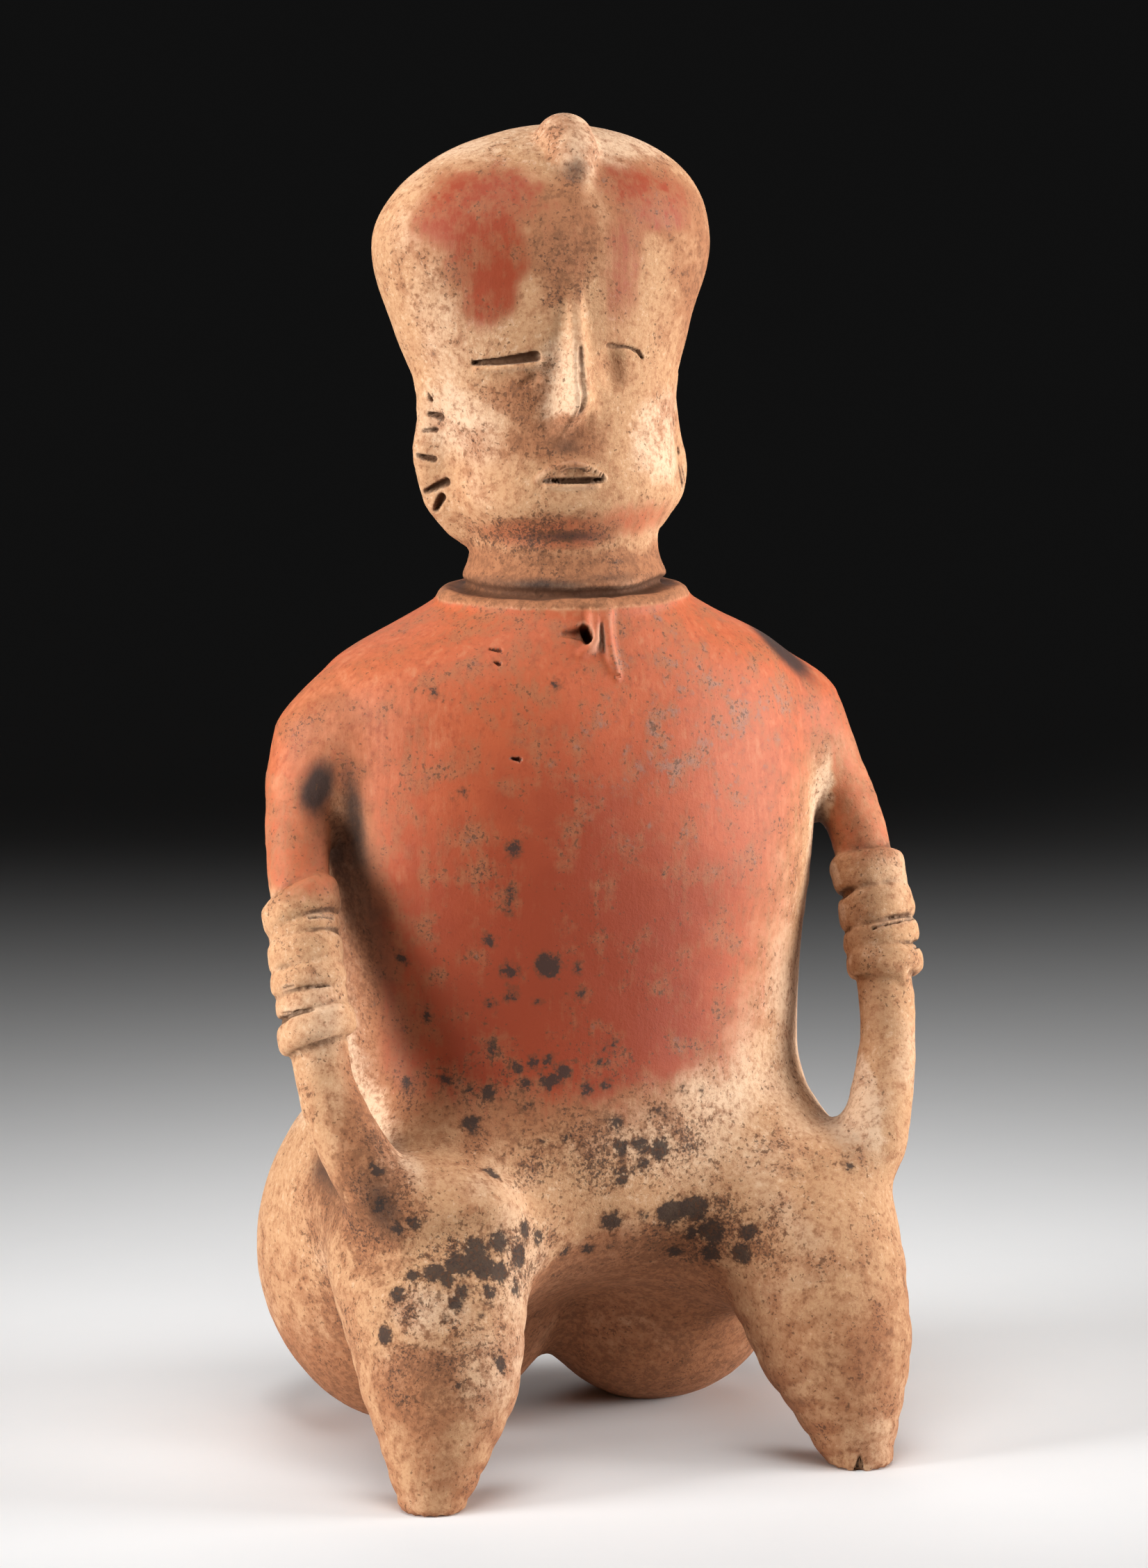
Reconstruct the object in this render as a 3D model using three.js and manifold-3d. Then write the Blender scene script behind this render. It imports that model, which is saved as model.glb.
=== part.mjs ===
// Seated clay figure in the Nayarit style: built up by hand from coils, hollow, slipped and burnished.
// Millimetres, +Z up. The figure faces -Y, and its own left side is +X.
// Its skin is where a smooth field of ovals and tapered limbs is zero. Clay strips are laid on it, and
// slits, notches and the floor are cut from it.

import * as THREE from "three";
import { mergeVertices } from "three/addons/utils/BufferGeometryUtils.js";
import Module from "manifold-3d";

// Heights above the floor
const crotchHeight = 54;
const calfHeight = 44;
const kneeHeight = 80;
const hipHeight = 98;
const waistHeight = 160;
const elbowHeight = 165;
const chestHeight = 222;
const shoulderHeight = 262;
const collarHeight = 308;
const jawHeight = 345;
const mouthRise = 8.5;
const cheekHeight = 374;
const eyeHeight = 396;
const browHeight = 418;
const skullHeight = 432;
const crownHeight = 474.5;
const knobRise = 5.5;

// Half widths and half depths of the body, from the hips to the crown
const hipHalfWidth = 90;
const hipHalfDepth = 69;
const waistHalfWidth = 87.4;
const waistHalfDepth = 61;
const chestHalfWidth = 94;
const chestHalfDepth = 62;
const chestShift = 1;
const waistShift = 0.8;
const slopeShift = 2.5;
const shoulderHalfWidth = 94;
const shoulderHalfDepth = 57;
const slopeHalfWidth = 85;
const slopeHalfDepth = 51;
const collarHalfWidth = 44;
const collarHalfDepth = 41;
const neckHalfWidth = 35;
const neckHalfDepth = 33;
const jawHalfWidth = 43;
const jawHalfDepth = 39;
const cheekHalfWidth = 45;
const cheekHalfDepth = 39;
const templeHalfWidth = 55;
const templeHalfDepth = 42;
const skullHalfWidth = 63;
const skullHalfDepth = 43;

// Setback, sideways shift and turn of the head, with the lean of its crown to the figure's left
const headSetback = 14;
const headShift = 3;
const faceTurn = 6;
const crownLean = 6;

// The two lobes of the seat, the figure's right one larger and set higher
const rightSeatHalfWidth = 58;
const rightSeatHalfHeight = 67;
const leftSeatHalfWidth = 49;
const leftSeatHalfHeight = 49;
const seatSpacing = 94;
const seatSetback = 31;
const seatSink = 2;
const thighDrop = 14;

// Thighs, knees and stub feet
const thighRadius = 38;
const kneeRadius = 37;
const calfRadius = 28.5;
const footRadius = 12.3;
const hipSpacing = 84;
const kneeSpacing = 138;
const footSpacing = 163;
const footShift = 2;
const kneeReach = 48;
const calfReach = 74;
const footReach = 89;

// Arms
const shoulderRadius = 19;
const armRadius = 10;
const wristRadius = 11.5;
const armSpread = 108.5;
const armTopDrop = 6;
const armpitDrop = 18;
const armpitReach = 4;
const upperArmReach = 16;
const middleArmReach = 30;
const elbowReach = 41;
const wristReach = 60;
const handReach = 72;

// Clay strips laid on the body
const bandRadius = 4.6;
const bandPitch = 10.6;
const rightBandTop = 206;
const leftBandTop = 201;
const collarRadius = 3.6;
const earRadius = 6.3;
const earReach = 5;
const knobRadius = 10.6;
const noseHalfWidth = 9.5;
const noseProud = 8;
const lipRadius = 2.4;
const tieRadius = 2.2;
const tieCurl = 14;
const tieFall = 20;

// Cuts
const slitLength = 21;
const slitWidth = 3.6;
const slitDepth = 3;
const eyeAngle = 31;
const mouthTurn = 3;
const notchWidth = 1.8;
const notchDepth = 3.5;
const holeRadius = 2.6;
const holeDepth = 7;
const holeDrop = 7;
const holeShift = -9.5;

// How softly forms run into one another, and how fine the skin is
const softJoin = 26;
const seatJoin = 18;
const limbJoin = 14;
const neckJoin = 7;
const gridStep = 14;
const flatness = 1;
const armSides = 10;
const shortestEdge = 6;

const clay = new THREE.MeshStandardMaterial({ color: 0xb5704c, roughness: 0.62, metalness: 0 });
const up = new THREE.Vector3(0, 0, 1);
const wasm = await Module();
wasm.setup();

// Fields: negative inside a form, about millimetres away from its surface

function join(a, b, softness) {
  const near = Math.max(softness - Math.abs(a - b), 0) / softness;
  return Math.min(a, b) - near * near * softness / 4;
}

function oval(p, centre, halves) {
  const x = (p.x - centre.x) / halves.x;
  const y = (p.y - centre.y) / halves.y;
  const z = (p.z - centre.z) / halves.z;
  const reach = Math.hypot(x, y, z);
  const slope = Math.hypot(x / halves.x, y / halves.y, z / halves.z);
  return slope > 0 ? reach * (reach - 1) / slope : -halves.z;
}

function limb(p, from, to) {
  const dx = to.x - from.x;
  const dy = to.y - from.y;
  const dz = to.z - from.z;
  const along = (p.x - from.x) * dx + (p.y - from.y) * dy + (p.z - from.z) * dz;
  const t = Math.min(Math.max(along / (dx * dx + dy * dy + dz * dz), 0), 1);
  const gap = Math.hypot(p.x - from.x - dx * t, p.y - from.y - dy * t, p.z - from.z - dz * t);
  return gap - from.radius - (to.radius - from.radius) * t;
}

function chain(p, stops) {
  let nearest = Infinity;
  for (let i = 1; i < stops.length; i++) {
    nearest = Math.min(nearest, limb(p, stops[i - 1], stops[i]));
  }
  return nearest;
}

// A stack of level ovals, each row { z, wide, deep, x, y }, with a domed bottom and a domed, leaning top
function stackOf(rows, topRise, bottomRise, lean = 0) {
  const heights = rows.map((row) => row.z);
  const values = rows.flatMap((row) => [row.wide, row.deep, row.x, row.y]);
  const between = new THREE.CubicInterpolant(heights, values, 4);
  between.settings = { endingStart: THREE.ZeroSlopeEnding, endingEnd: THREE.ZeroSlopeEnding };
  const low = heights[0];
  const high = heights[heights.length - 1];
  return (p) => {
    const [wide, deep, x, y] = between.evaluate(Math.min(Math.max(p.z, low), high));
    const above = Math.max(p.z - high, 0) / topRise;
    const below = Math.max(low - p.z, 0) / bottomRise;
    const middle = x + lean * Math.min(above * above, 1);
    return (Math.hypot((p.x - middle) / wide, (p.y - y) / deep, above, below) - 1) * Math.min(wide, deep);
  };
}

// Body and head as stacks of ovals

const slopeHeight = (shoulderHeight + collarHeight) / 2;
const neckHeight = (collarHeight + jawHeight) / 2;
const mouthHeight = jawHeight + mouthRise;
const knobTopHeight = crownHeight + knobRise;

const trunk = stackOf([
  { z: hipHeight, wide: hipHalfWidth, deep: hipHalfDepth, x: 0, y: 3 },
  { z: waistHeight, wide: waistHalfWidth, deep: waistHalfDepth, x: waistShift, y: 0 },
  { z: chestHeight, wide: chestHalfWidth, deep: chestHalfDepth, x: waistShift, y: 0 },
  { z: shoulderHeight, wide: shoulderHalfWidth, deep: shoulderHalfDepth, x: -chestShift, y: 0 },
  { z: slopeHeight, wide: slopeHalfWidth, deep: slopeHalfDepth, x: -slopeShift, y: 0 },
  { z: collarHeight, wide: collarHalfWidth, deep: collarHalfDepth, x: 0, y: 0 },
  { z: neckHeight - neckJoin, wide: neckHalfWidth, deep: neckHalfDepth, x: 0, y: 0 },
  { z: neckHeight + neckJoin, wide: neckHalfWidth, deep: neckHalfDepth, x: 0, y: 2 },
], neckHalfWidth / 2, hipHeight - crotchHeight);

const head = stackOf([
  { z: jawHeight, wide: jawHalfWidth, deep: jawHalfDepth, x: 0, y: headSetback * 0.3 },
  { z: cheekHeight, wide: cheekHalfWidth, deep: cheekHalfDepth, x: -headShift * 0.8, y: headSetback * 0.6 },
  {
    z: (cheekHeight + skullHeight) / 2,
    wide: templeHalfWidth,
    deep: templeHalfDepth,
    x: -headShift * 1.2,
    y: headSetback * 0.9,
  },
  { z: skullHeight, wide: skullHalfWidth, deep: skullHalfDepth, x: -headShift, y: headSetback },
], crownHeight - skullHeight, jawHeight - neckHeight + 2, crownLean);

// Seat, legs and arms: side -1 is the figure's right, 1 its left

function seatOf(side) {
  const wide = side < 0 ? rightSeatHalfWidth : leftSeatHalfWidth;
  const tall = side < 0 ? rightSeatHalfHeight : leftSeatHalfHeight;
  return {
    centre: { x: side * seatSpacing / 2, y: seatSetback, z: tall - seatSink },
    halves: { x: wide, y: wide, z: tall },
  };
}

function legOf(side) {
  return [
    { x: side * hipSpacing / 2, y: 0, z: hipHeight - thighDrop, radius: thighRadius },
    { x: side * kneeSpacing / 2, y: -kneeReach, z: kneeHeight, radius: kneeRadius },
    { x: side * (kneeSpacing + footSpacing) / 4, y: -calfReach, z: calfHeight, radius: calfRadius },
    { x: side * footSpacing / 2 - footShift, y: -footReach, z: footRadius / 3, radius: footRadius },
  ];
}

// The figure's right hand runs on along its thigh, and the left one ends at the hip
function armOf(side) {
  const forearm = elbowHeight - hipHeight;
  const wristHeight = hipHeight + forearm * 0.18;
  const hand = side < 0
    ? [[-armSpread * 0.86, -wristReach, wristHeight], [-armSpread * 0.56, -handReach, hipHeight]]
    : [[armSpread * 0.89, -wristReach, wristHeight], [armSpread * 0.8, -wristReach, hipHeight]];
  const armpitSpread = armSpread - shoulderRadius * 0.6;
  const stops = [
    [side * (armSpread - shoulderRadius) - chestShift, 0, shoulderHeight - armTopDrop, shoulderRadius],
    [side * armpitSpread - chestShift, -armpitReach, shoulderHeight - armpitDrop, shoulderRadius * 0.8],
    [side * armSpread * 0.985, -upperArmReach, chestHeight, armRadius * 1.08],
    [side * armSpread, -middleArmReach, (chestHeight + elbowHeight) / 2, armRadius],
    [side * armSpread * 1.005, -elbowReach, elbowHeight, armRadius],
    [side * armSpread * 0.98, -elbowReach * 0.7 - wristReach * 0.35, elbowHeight - forearm * 0.4, armRadius],
    ...hand.map((place) => [...place, wristRadius]),
  ];
  return stops.map(([x, y, z, radius]) => ({ x, y, z, radius }));
}

const sides = [-1, 1];
const seats = sides.map(seatOf);
const legs = sides.map(legOf);
const arms = sides.map(armOf);

// A point on the head, by its angle to the figure's right of the middle of the face, and its height
function onFace(degrees, height, depth = 0) {
  const angle = THREE.MathUtils.degToRad(degrees + faceTurn);
  const out = new THREE.Vector3(-Math.sin(angle), -Math.cos(angle), 0);
  const point = new THREE.Vector3(-headShift, headSetback * 0.6, height);
  for (let i = 0; i < 20; i++) {
    point.addScaledVector(out, -head(point));
  }
  return point.addScaledVector(out, -depth);
}

function skin(p) {
  let body = trunk(p);
  for (const seat of seats) {
    body = join(body, oval(p, seat.centre, seat.halves), seatJoin);
  }
  for (const leg of legs) {
    body = join(body, chain(p, leg), softJoin);
  }
  for (const arm of arms) {
    body = join(body, chain(p, arm.slice(0, 2)), limbJoin);
    body = join(body, chain(p, arm.slice(-3)), limbJoin);
  }
  return join(body, head(p), neckJoin);
}

// From a field to a closed skin of triangles

function slopeAt(field, p, value = field(p)) {
  const d = 0.05;
  const { x, y, z } = p;
  const ahead = [{ x: x + d, y, z }, { x, y: y + d, z }, { x, y, z: z + d }];
  return new THREE.Vector3(...ahead.map((near) => (field(near) - value) / d));
}

function settle(field, p) {
  for (let i = 0; i < 3; i++) {
    const value = field(p);
    const slope = slopeAt(field, p, value);
    p.addScaledVector(slope, THREE.MathUtils.clamp(-value / Math.max(slope.lengthSq(), 0.05), -4, 4));
  }
  return p;
}

// Signs that meet only corner to corner in a face are joined, so that no skin edge has four faces
function tidySigns(values, strides) {
  let changed = true;
  while (changed) {
    changed = false;
    for (let axis = 0; axis < 3; axis++) {
      const [u, v] = [0, 1, 2].filter((other) => other !== axis).map((other) => strides[other]);
      for (let i = 0; i + u + v < values.length; i++) {
        const square = [i, i + u, i + u + v, i + v];
        const inside = square.map((corner) => values[corner] < 0);
        if (inside[0] === inside[2] && inside[1] === inside[3] && inside[0] !== inside[1]) {
          const outside = square.filter((corner, k) => !inside[k]);
          outside.sort((a, b) => values[a] - values[b]);
          values[outside[0]] = -0.01;
          changed = true;
        }
      }
    }
  }
}

function netOf(field, low, high, step) {
  const sizes = ["x", "y", "z"].map((axis) => Math.ceil((high[axis] - low[axis]) / step) + 1);
  const strides = [1, sizes[0], sizes[0] * sizes[1]];
  const place = (i, j, k) => new THREE.Vector3(low.x + i * step, low.y + j * step, low.z + k * step);
  const values = new Float64Array(sizes[0] * sizes[1] * sizes[2]);
  for (let k = 0; k < sizes[2]; k++) {
    for (let j = 0; j < sizes[1]; j++) {
      for (let i = 0; i < sizes[0]; i++) {
        values[i + j * strides[1] + k * strides[2]] = field(place(i, j, k));
      }
    }
  }
  tidySigns(values, strides);

  const points = [];
  const pointOfCell = new Map();
  const corners = [0, 1, 2, 3, 4, 5, 6, 7].map((n) => [n & 1, (n >> 1) & 1, (n >> 2) & 1]);
  for (let k = 0; k < sizes[2] - 1; k++) {
    for (let j = 0; j < sizes[1] - 1; j++) {
      for (let i = 0; i < sizes[0] - 1; i++) {
        const cell = i + j * strides[1] + k * strides[2];
        const middle = new THREE.Vector3();
        let crossings = 0;
        for (let a = 0; a < 8; a++) {
          for (const bit of [1, 2, 4]) {
            const b = a | bit;
            if (a === b) continue;
            const [pa, pb] = [corners[a], corners[b]];
            const va = values[cell + pa[0] + pa[1] * strides[1] + pa[2] * strides[2]];
            const vb = values[cell + pb[0] + pb[1] * strides[1] + pb[2] * strides[2]];
            if ((va < 0) === (vb < 0)) continue;
            const start = place(i + pa[0], j + pa[1], k + pa[2]);
            middle.add(start.lerp(place(i + pb[0], j + pb[1], k + pb[2]), va / (va - vb)));
            crossings += 1;
          }
        }
        if (crossings > 0) {
          pointOfCell.set(cell, points.length);
          points.push(settle(field, middle.divideScalar(crossings)));
        }
      }
    }
  }

  const faces = [];
  for (const [cell] of pointOfCell) {
    for (let axis = 0; axis < 3; axis++) {
      const u = strides[(axis + 1) % 3];
      const v = strides[(axis + 2) % 3];
      const inside = values[cell] < 0;
      if (inside === values[cell + strides[axis]] < 0) continue;
      const ring = [cell - u - v, cell - v, cell, cell - u].map((near) => pointOfCell.get(near));
      const [a, b, c, d] = inside ? ring : ring.reverse();
      const straight = points[a].distanceTo(points[c]) < points[b].distanceTo(points[d]);
      faces.push(...(straight ? [[a, b, c], [a, c, d]] : [[a, b, d], [b, c, d]]));
    }
  }
  return { points, faces };
}

// Splits each edge whose middle lies off the field's surface, and lays the new point on it
function refine(field, { points, faces }) {
  const middles = new Map();
  const middleOf = (a, b) => {
    const key = a < b ? `${a} ${b}` : `${b} ${a}`;
    if (!middles.has(key)) {
      const middle = points[a].clone().lerp(points[b], 0.5);
      const miss = Math.abs(field(middle)) / Math.max(slopeAt(field, middle).length(), 0.3);
      const split = miss > flatness && points[a].distanceTo(points[b]) > shortestEdge;
      middles.set(key, split ? points.push(settle(field, middle)) - 1 : -1);
    }
    return middles.get(key);
  };
  const finer = faces.flatMap(([a, b, c]) => {
    const corners = [a, b, c];
    const halves = [middleOf(a, b), middleOf(b, c), middleOf(c, a)];
    const count = halves.filter((half) => half >= 0).length;
    if (count === 0) return [[a, b, c]];
    if (count === 3) {
      const [ab, bc, ca] = halves;
      return [[a, ab, ca], [ab, b, bc], [ca, bc, c], [ab, bc, ca]];
    }
    const first = count === 1 ? halves.findIndex((half) => half >= 0) : (halves.indexOf(-1) + 1) % 3;
    const [p, q, r] = [0, 1, 2].map((turn) => corners[(first + turn) % 3]);
    const pq = halves[first];
    if (count === 1) return [[p, pq, r], [pq, q, r]];
    const qr = halves[(first + 1) % 3];
    return [[pq, q, qr], [p, pq, qr], [p, qr, r]];
  });
  return { points, faces: finer };
}

// Evens out the triangles: each point moves towards the middle of its neighbours and back onto the surface
function relax(field, { points, faces }) {
  const sums = points.map(() => ({ sum: new THREE.Vector3(), count: 0 }));
  for (const [a, b, c] of faces) {
    for (const [at, other] of [[a, b], [b, c], [c, a]]) {
      sums[at].sum.add(points[other]);
      sums[at].count += 1;
    }
  }
  return {
    points: points.map((point, i) => settle(field, sums[i].sum.divideScalar(sums[i].count).lerp(point, 0.5))),
    faces,
  };
}

function geometryOf({ points, faces }) {
  const geometry = new THREE.BufferGeometry().setFromPoints(points);
  geometry.setIndex(faces.flat());
  return geometry;
}

function solidOf(geometry) {
  const bare = geometry.clone();
  bare.deleteAttribute("normal");
  bare.deleteAttribute("uv");
  const merged = mergeVertices(bare, 1e-4);
  return new wasm.Manifold(new wasm.Mesh({
    numProp: 3,
    vertProperties: new Float32Array(merged.attributes.position.array),
    triVerts: new Uint32Array(merged.index.array),
  }));
}

// Clay strips and limbs laid on the body

function tubeAlong(points, radius, steps) {
  const section = new THREE.Shape().absellipse(0, 0, radius, radius, 0, Math.PI * 2);
  const extrudePath = new THREE.CatmullRomCurve3(points);
  return new THREE.ExtrudeGeometry(section, { steps, extrudePath, curveSegments: 4, bevelEnabled: false });
}

function routeOf(stops) {
  return new THREE.CatmullRomCurve3(stops.map(({ x, y, z }) => new THREE.Vector3(x, y, z)));
}

// A closed tube that tapers between its stops
function taperAlong(stops, steps) {
  const route = routeOf(stops);
  const rings = (stops.length - 1) * steps;
  const points = [];
  for (let i = 0; i <= rings; i++) {
    const stop = Math.min(Math.floor(i / steps), stops.length - 2);
    const radius = THREE.MathUtils.lerp(stops[stop].radius, stops[stop + 1].radius, i / steps - stop);
    const centre = route.getPoint(i / rings);
    const along = route.getTangent(i / rings);
    const across = new THREE.Vector3(0, 1, 0).cross(along).normalize();
    const front = along.cross(across);
    for (let k = 0; k < armSides; k++) {
      const turn = k / armSides * Math.PI * 2;
      const out = across.clone().multiplyScalar(Math.cos(turn)).addScaledVector(front, Math.sin(turn));
      points.push(centre.clone().addScaledVector(out, radius));
    }
  }
  const faces = [];
  const ends = [points.push(route.getPoint(0)) - 1, points.push(route.getPoint(1)) - 1];
  for (let k = 0; k < armSides; k++) {
    const next = (k + 1) % armSides;
    for (let i = 0; i < rings; i++) {
      const [low, high] = [i * armSides, (i + 1) * armSides];
      faces.push([low + k, low + next, high + k], [low + next, high + next, high + k]);
    }
    faces.push([next, k, ends[0]], [rings * armSides + k, rings * armSides + next, ends[1]]);
  }
  return geometryOf({ points, faces });
}

function armbands(arm, top, count) {
  const route = routeOf(arm);
  const rings = [];
  let share = 0;
  for (let i = 0; i < count; i++) {
    while (route.getPointAt(share).z > top - i * bandPitch) share += 0.002;
    const ring = new THREE.TorusGeometry(armRadius + bandRadius * 0.15, bandRadius, 5, 12);
    ring.applyQuaternion(new THREE.Quaternion().setFromUnitVectors(up, route.getTangentAt(share)));
    rings.push(ring.translate(...route.getPointAt(share)));
  }
  return rings;
}

function collar() {
  const ring = new THREE.TorusGeometry(collarHalfWidth - collarRadius / 2, collarRadius, 5, 24);
  ring.scale(1, collarHalfDepth / collarHalfWidth, 1);
  return ring.translate(-chestShift / 2, 0, collarHeight + collarRadius / 4);
}

function earPoints(side) {
  const tall = (cheekHeight - jawHeight) * 1.55;
  const stop = (share, reach) => new THREE.Vector3(
    side * (cheekHalfWidth + reach) - headShift,
    headSetback * 0.4,
    cheekHeight + earRadius - share * tall,
  );
  const edges = [0, 0.5, 1, 0.9, -0.5];
  return edges.map((edge, i) => stop(i / 4, edge * earReach - earRadius));
}

function knob() {
  const post = new THREE.CapsuleGeometry(knobRadius, knobRadius, 3, 10).rotateX(Math.PI / 2);
  return post.translate(-headShift / 2, -knobRadius / 2, knobTopHeight - knobRadius * 1.5);
}

// A long wedge with its point at the brow, half sunk in the face
function nose() {
  const top = onFace(0, browHeight);
  const tip = onFace(0, cheekHeight);
  const wedge = new THREE.ConeGeometry(noseHalfWidth, top.distanceTo(tip), 8).rotateX(Math.PI / 2);
  wedge.scale(1, noseProud / noseHalfWidth, 1);
  const slant = new THREE.Quaternion().setFromUnitVectors(up, top.clone().sub(tip).normalize());
  return wedge.applyQuaternion(slant).translate(...top.lerp(tip, 0.5));
}

// A point on the front of the body, out from its skin by lift
function onChest(x, z, lift) {
  const point = new THREE.Vector3(x, -chestHalfDepth, z);
  for (let i = 0; i < 20; i++) point.y += trunk(point);
  point.y -= lift;
  return point;
}

function mouthPoint(share, rise) {
  return onFace(mouthTurn - share * 14, mouthHeight + rise * (1 - share * share));
}

function upperLip() {
  return tubeAlong([-1, -0.5, 0, 0.5, 1].map((share) => mouthPoint(share, 4)), lipRadius, 8);
}

const tieTop = collarHeight - collarRadius / 2;
const holeCentre = onChest(holeShift, tieTop - holeDrop, 0);

function tieStrand(end, drop) {
  const knot = holeShift / 2;
  const stops = [
    onChest(knot, tieTop + tieRadius, 0),
    onChest((knot + end) / 2, tieTop - drop / 2, tieRadius / 2),
    onChest(end, tieTop - drop, 0),
  ];
  return tubeAlong(stops, tieRadius, 5);
}

const strips = [
  ...arms.map((arm) => taperAlong(arm, 3)),
  ...armbands(arms[0], rightBandTop, 5),
  ...armbands(arms[1], leftBandTop, 4),
  collar(),
  ...sides.map((side) => tubeAlong(earPoints(side), earRadius, 8)),
  knob(),
  nose(),
  upperLip(),
  tieStrand(holeShift, tieCurl),
  tieStrand(0, tieFall),
];

// Cuts: eye and mouth slits, the notches of the ears, the hole at the collar and the floor

function slit(middle, end) {
  const away = end.clone().sub(middle);
  const half = new THREE.CapsuleGeometry(slitWidth / 2, slitLength - slitWidth, 2, 6).rotateZ(Math.PI / 2);
  half.scale(1, slitDepth * 2 / slitWidth, 1);
  const turn = new THREE.Quaternion().setFromUnitVectors(new THREE.Vector3(1, 0, 0), away.normalize());
  return half.applyQuaternion(turn).translate(...middle);
}

function earNotches(side, shares) {
  const curve = new THREE.CatmullRomCurve3(earPoints(side));
  return shares.map((share) => {
    const blade = new THREE.BoxGeometry(earRadius * 4, notchDepth * 2, notchWidth);
    const along = curve.getTangentAt(share);
    blade.rotateY(-Math.atan2(along.x, along.z));
    return blade.translate(...curve.getPointAt(share)).translate(0, -earRadius, 0);
  });
}

const cuts = [
  ...sides.map((side) => slit(onFace(eyeAngle * side, eyeHeight), onFace((eyeAngle + 3) * side, eyeHeight))),
  slit(mouthPoint(0, 0), mouthPoint(0.1, 0)),
  ...earNotches(-1, [0.12, 0.27, 0.4, 0.55, 0.7, 0.85]),
  ...earNotches(1, [0.6, 0.78]),
  new THREE.CylinderGeometry(holeRadius, holeRadius, holeDepth * 2, 8).translate(...holeCentre),
];

function figureSolid() {
  const wide = armSpread + shoulderRadius * 2;
  const deep = seatSetback + rightSeatHalfWidth * 2;
  const low = new THREE.Vector3(-wide, -deep, -gridStep * 2);
  const high = new THREE.Vector3(wide, deep, knobTopHeight + gridStep * 2);
  let net = netOf(skin, low, high, gridStep);
  for (let i = 0; i < 3; i++) net = relax(skin, net);
  for (let i = 0; i < 3; i++) net = refine(skin, net);
  let solid = solidOf(geometryOf(relax(skin, net)));
  for (const strip of strips) solid = solid.add(solidOf(strip));
  for (const cut of cuts) solid = solid.subtract(solidOf(cut));
  const floor = new THREE.BoxGeometry(wide * 4, deep * 4, knobTopHeight).translate(0, 0, -knobTopHeight / 2);
  return solid.subtract(solidOf(floor));
}

// Leaves out each shell that encloses air: a pocket sealed where a strip lies over a dip in the skin
function withoutPockets(places, corners) {
  const parent = Array.from({ length: places.length / 3 }, (_, i) => i);
  const rootOf = (start) => {
    let i = start;
    while (parent[i] !== i) i = parent[i] = parent[parent[i]];
    return i;
  };
  for (let i = 0; i < corners.length; i += 3) {
    for (const other of [corners[i + 1], corners[i + 2]]) parent[rootOf(other)] = rootOf(corners[i]);
  }
  const volumes = new Map();
  for (let i = 0; i < corners.length; i += 3) {
    const [a, b, c] = [0, 1, 2].map((k) => new THREE.Vector3().fromArray(places, corners[i + k] * 3));
    const shell = rootOf(corners[i]);
    volumes.set(shell, (volumes.get(shell) ?? 0) + a.dot(b.cross(c)) / 6);
  }
  return corners.filter((corner) => volumes.get(rootOf(corner)) > 0);
}

const { vertProperties, triVerts } = figureSolid().getMesh();
const geometry = new THREE.BufferGeometry();
geometry.setAttribute("position", new THREE.BufferAttribute(new Float32Array(vertProperties), 3));
geometry.setIndex(new THREE.BufferAttribute(withoutPockets(vertProperties, triVerts), 1));

// The origin is under the middle of the figure's box
geometry.computeBoundingBox();
const middle = geometry.boundingBox.getCenter(new THREE.Vector3());
geometry.translate(-middle.x, -middle.y, 0);

const figure = new THREE.Mesh(geometry, clay);
figure.name = "figure";

const model = new THREE.Group();
model.add(figure);
export default model;
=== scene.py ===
import math
from types import SimpleNamespace

import bpy
import numpy as np
from bpy.props import FloatProperty, FloatVectorProperty, PointerProperty
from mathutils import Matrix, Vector


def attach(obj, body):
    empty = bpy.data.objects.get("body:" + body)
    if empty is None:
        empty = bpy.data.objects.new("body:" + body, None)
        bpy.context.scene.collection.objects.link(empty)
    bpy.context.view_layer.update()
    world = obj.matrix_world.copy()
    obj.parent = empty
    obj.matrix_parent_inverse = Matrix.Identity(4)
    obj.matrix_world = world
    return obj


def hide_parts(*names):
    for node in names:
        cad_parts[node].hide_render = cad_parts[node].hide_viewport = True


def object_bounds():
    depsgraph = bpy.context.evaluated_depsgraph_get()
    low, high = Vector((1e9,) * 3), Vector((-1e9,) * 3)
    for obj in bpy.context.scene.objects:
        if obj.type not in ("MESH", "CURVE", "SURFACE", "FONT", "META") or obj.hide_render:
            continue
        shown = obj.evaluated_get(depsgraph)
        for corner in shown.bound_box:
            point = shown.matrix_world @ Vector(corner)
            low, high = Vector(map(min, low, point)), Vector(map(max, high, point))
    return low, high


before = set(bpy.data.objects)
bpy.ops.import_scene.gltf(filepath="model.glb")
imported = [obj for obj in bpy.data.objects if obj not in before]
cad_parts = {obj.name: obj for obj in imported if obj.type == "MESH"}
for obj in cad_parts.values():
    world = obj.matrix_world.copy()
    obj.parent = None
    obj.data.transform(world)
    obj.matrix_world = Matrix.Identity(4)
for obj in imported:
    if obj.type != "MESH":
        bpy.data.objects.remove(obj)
CAD_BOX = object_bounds()

bl_info = {
    "name": "Nayarit Figure",
    "version": (1, 0, 0),
    "blender": (4, 5, 0),
    "location": "View3D > Sidebar > Figure",
    "description": "Dresses a seated clay figure and sets its studio",
    "category": "Object",
}

# The drawing's height, and where the middle of its box lies
DRAWN_HEIGHT = 480
DRAWN_MIDDLE = (-0.01, -6.8)
MM = (CAD_BOX[1].z - CAD_BOX[0].z) / DRAWN_HEIGHT

# The figure's right side and its left
SIDES = (-1, 1)

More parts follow.
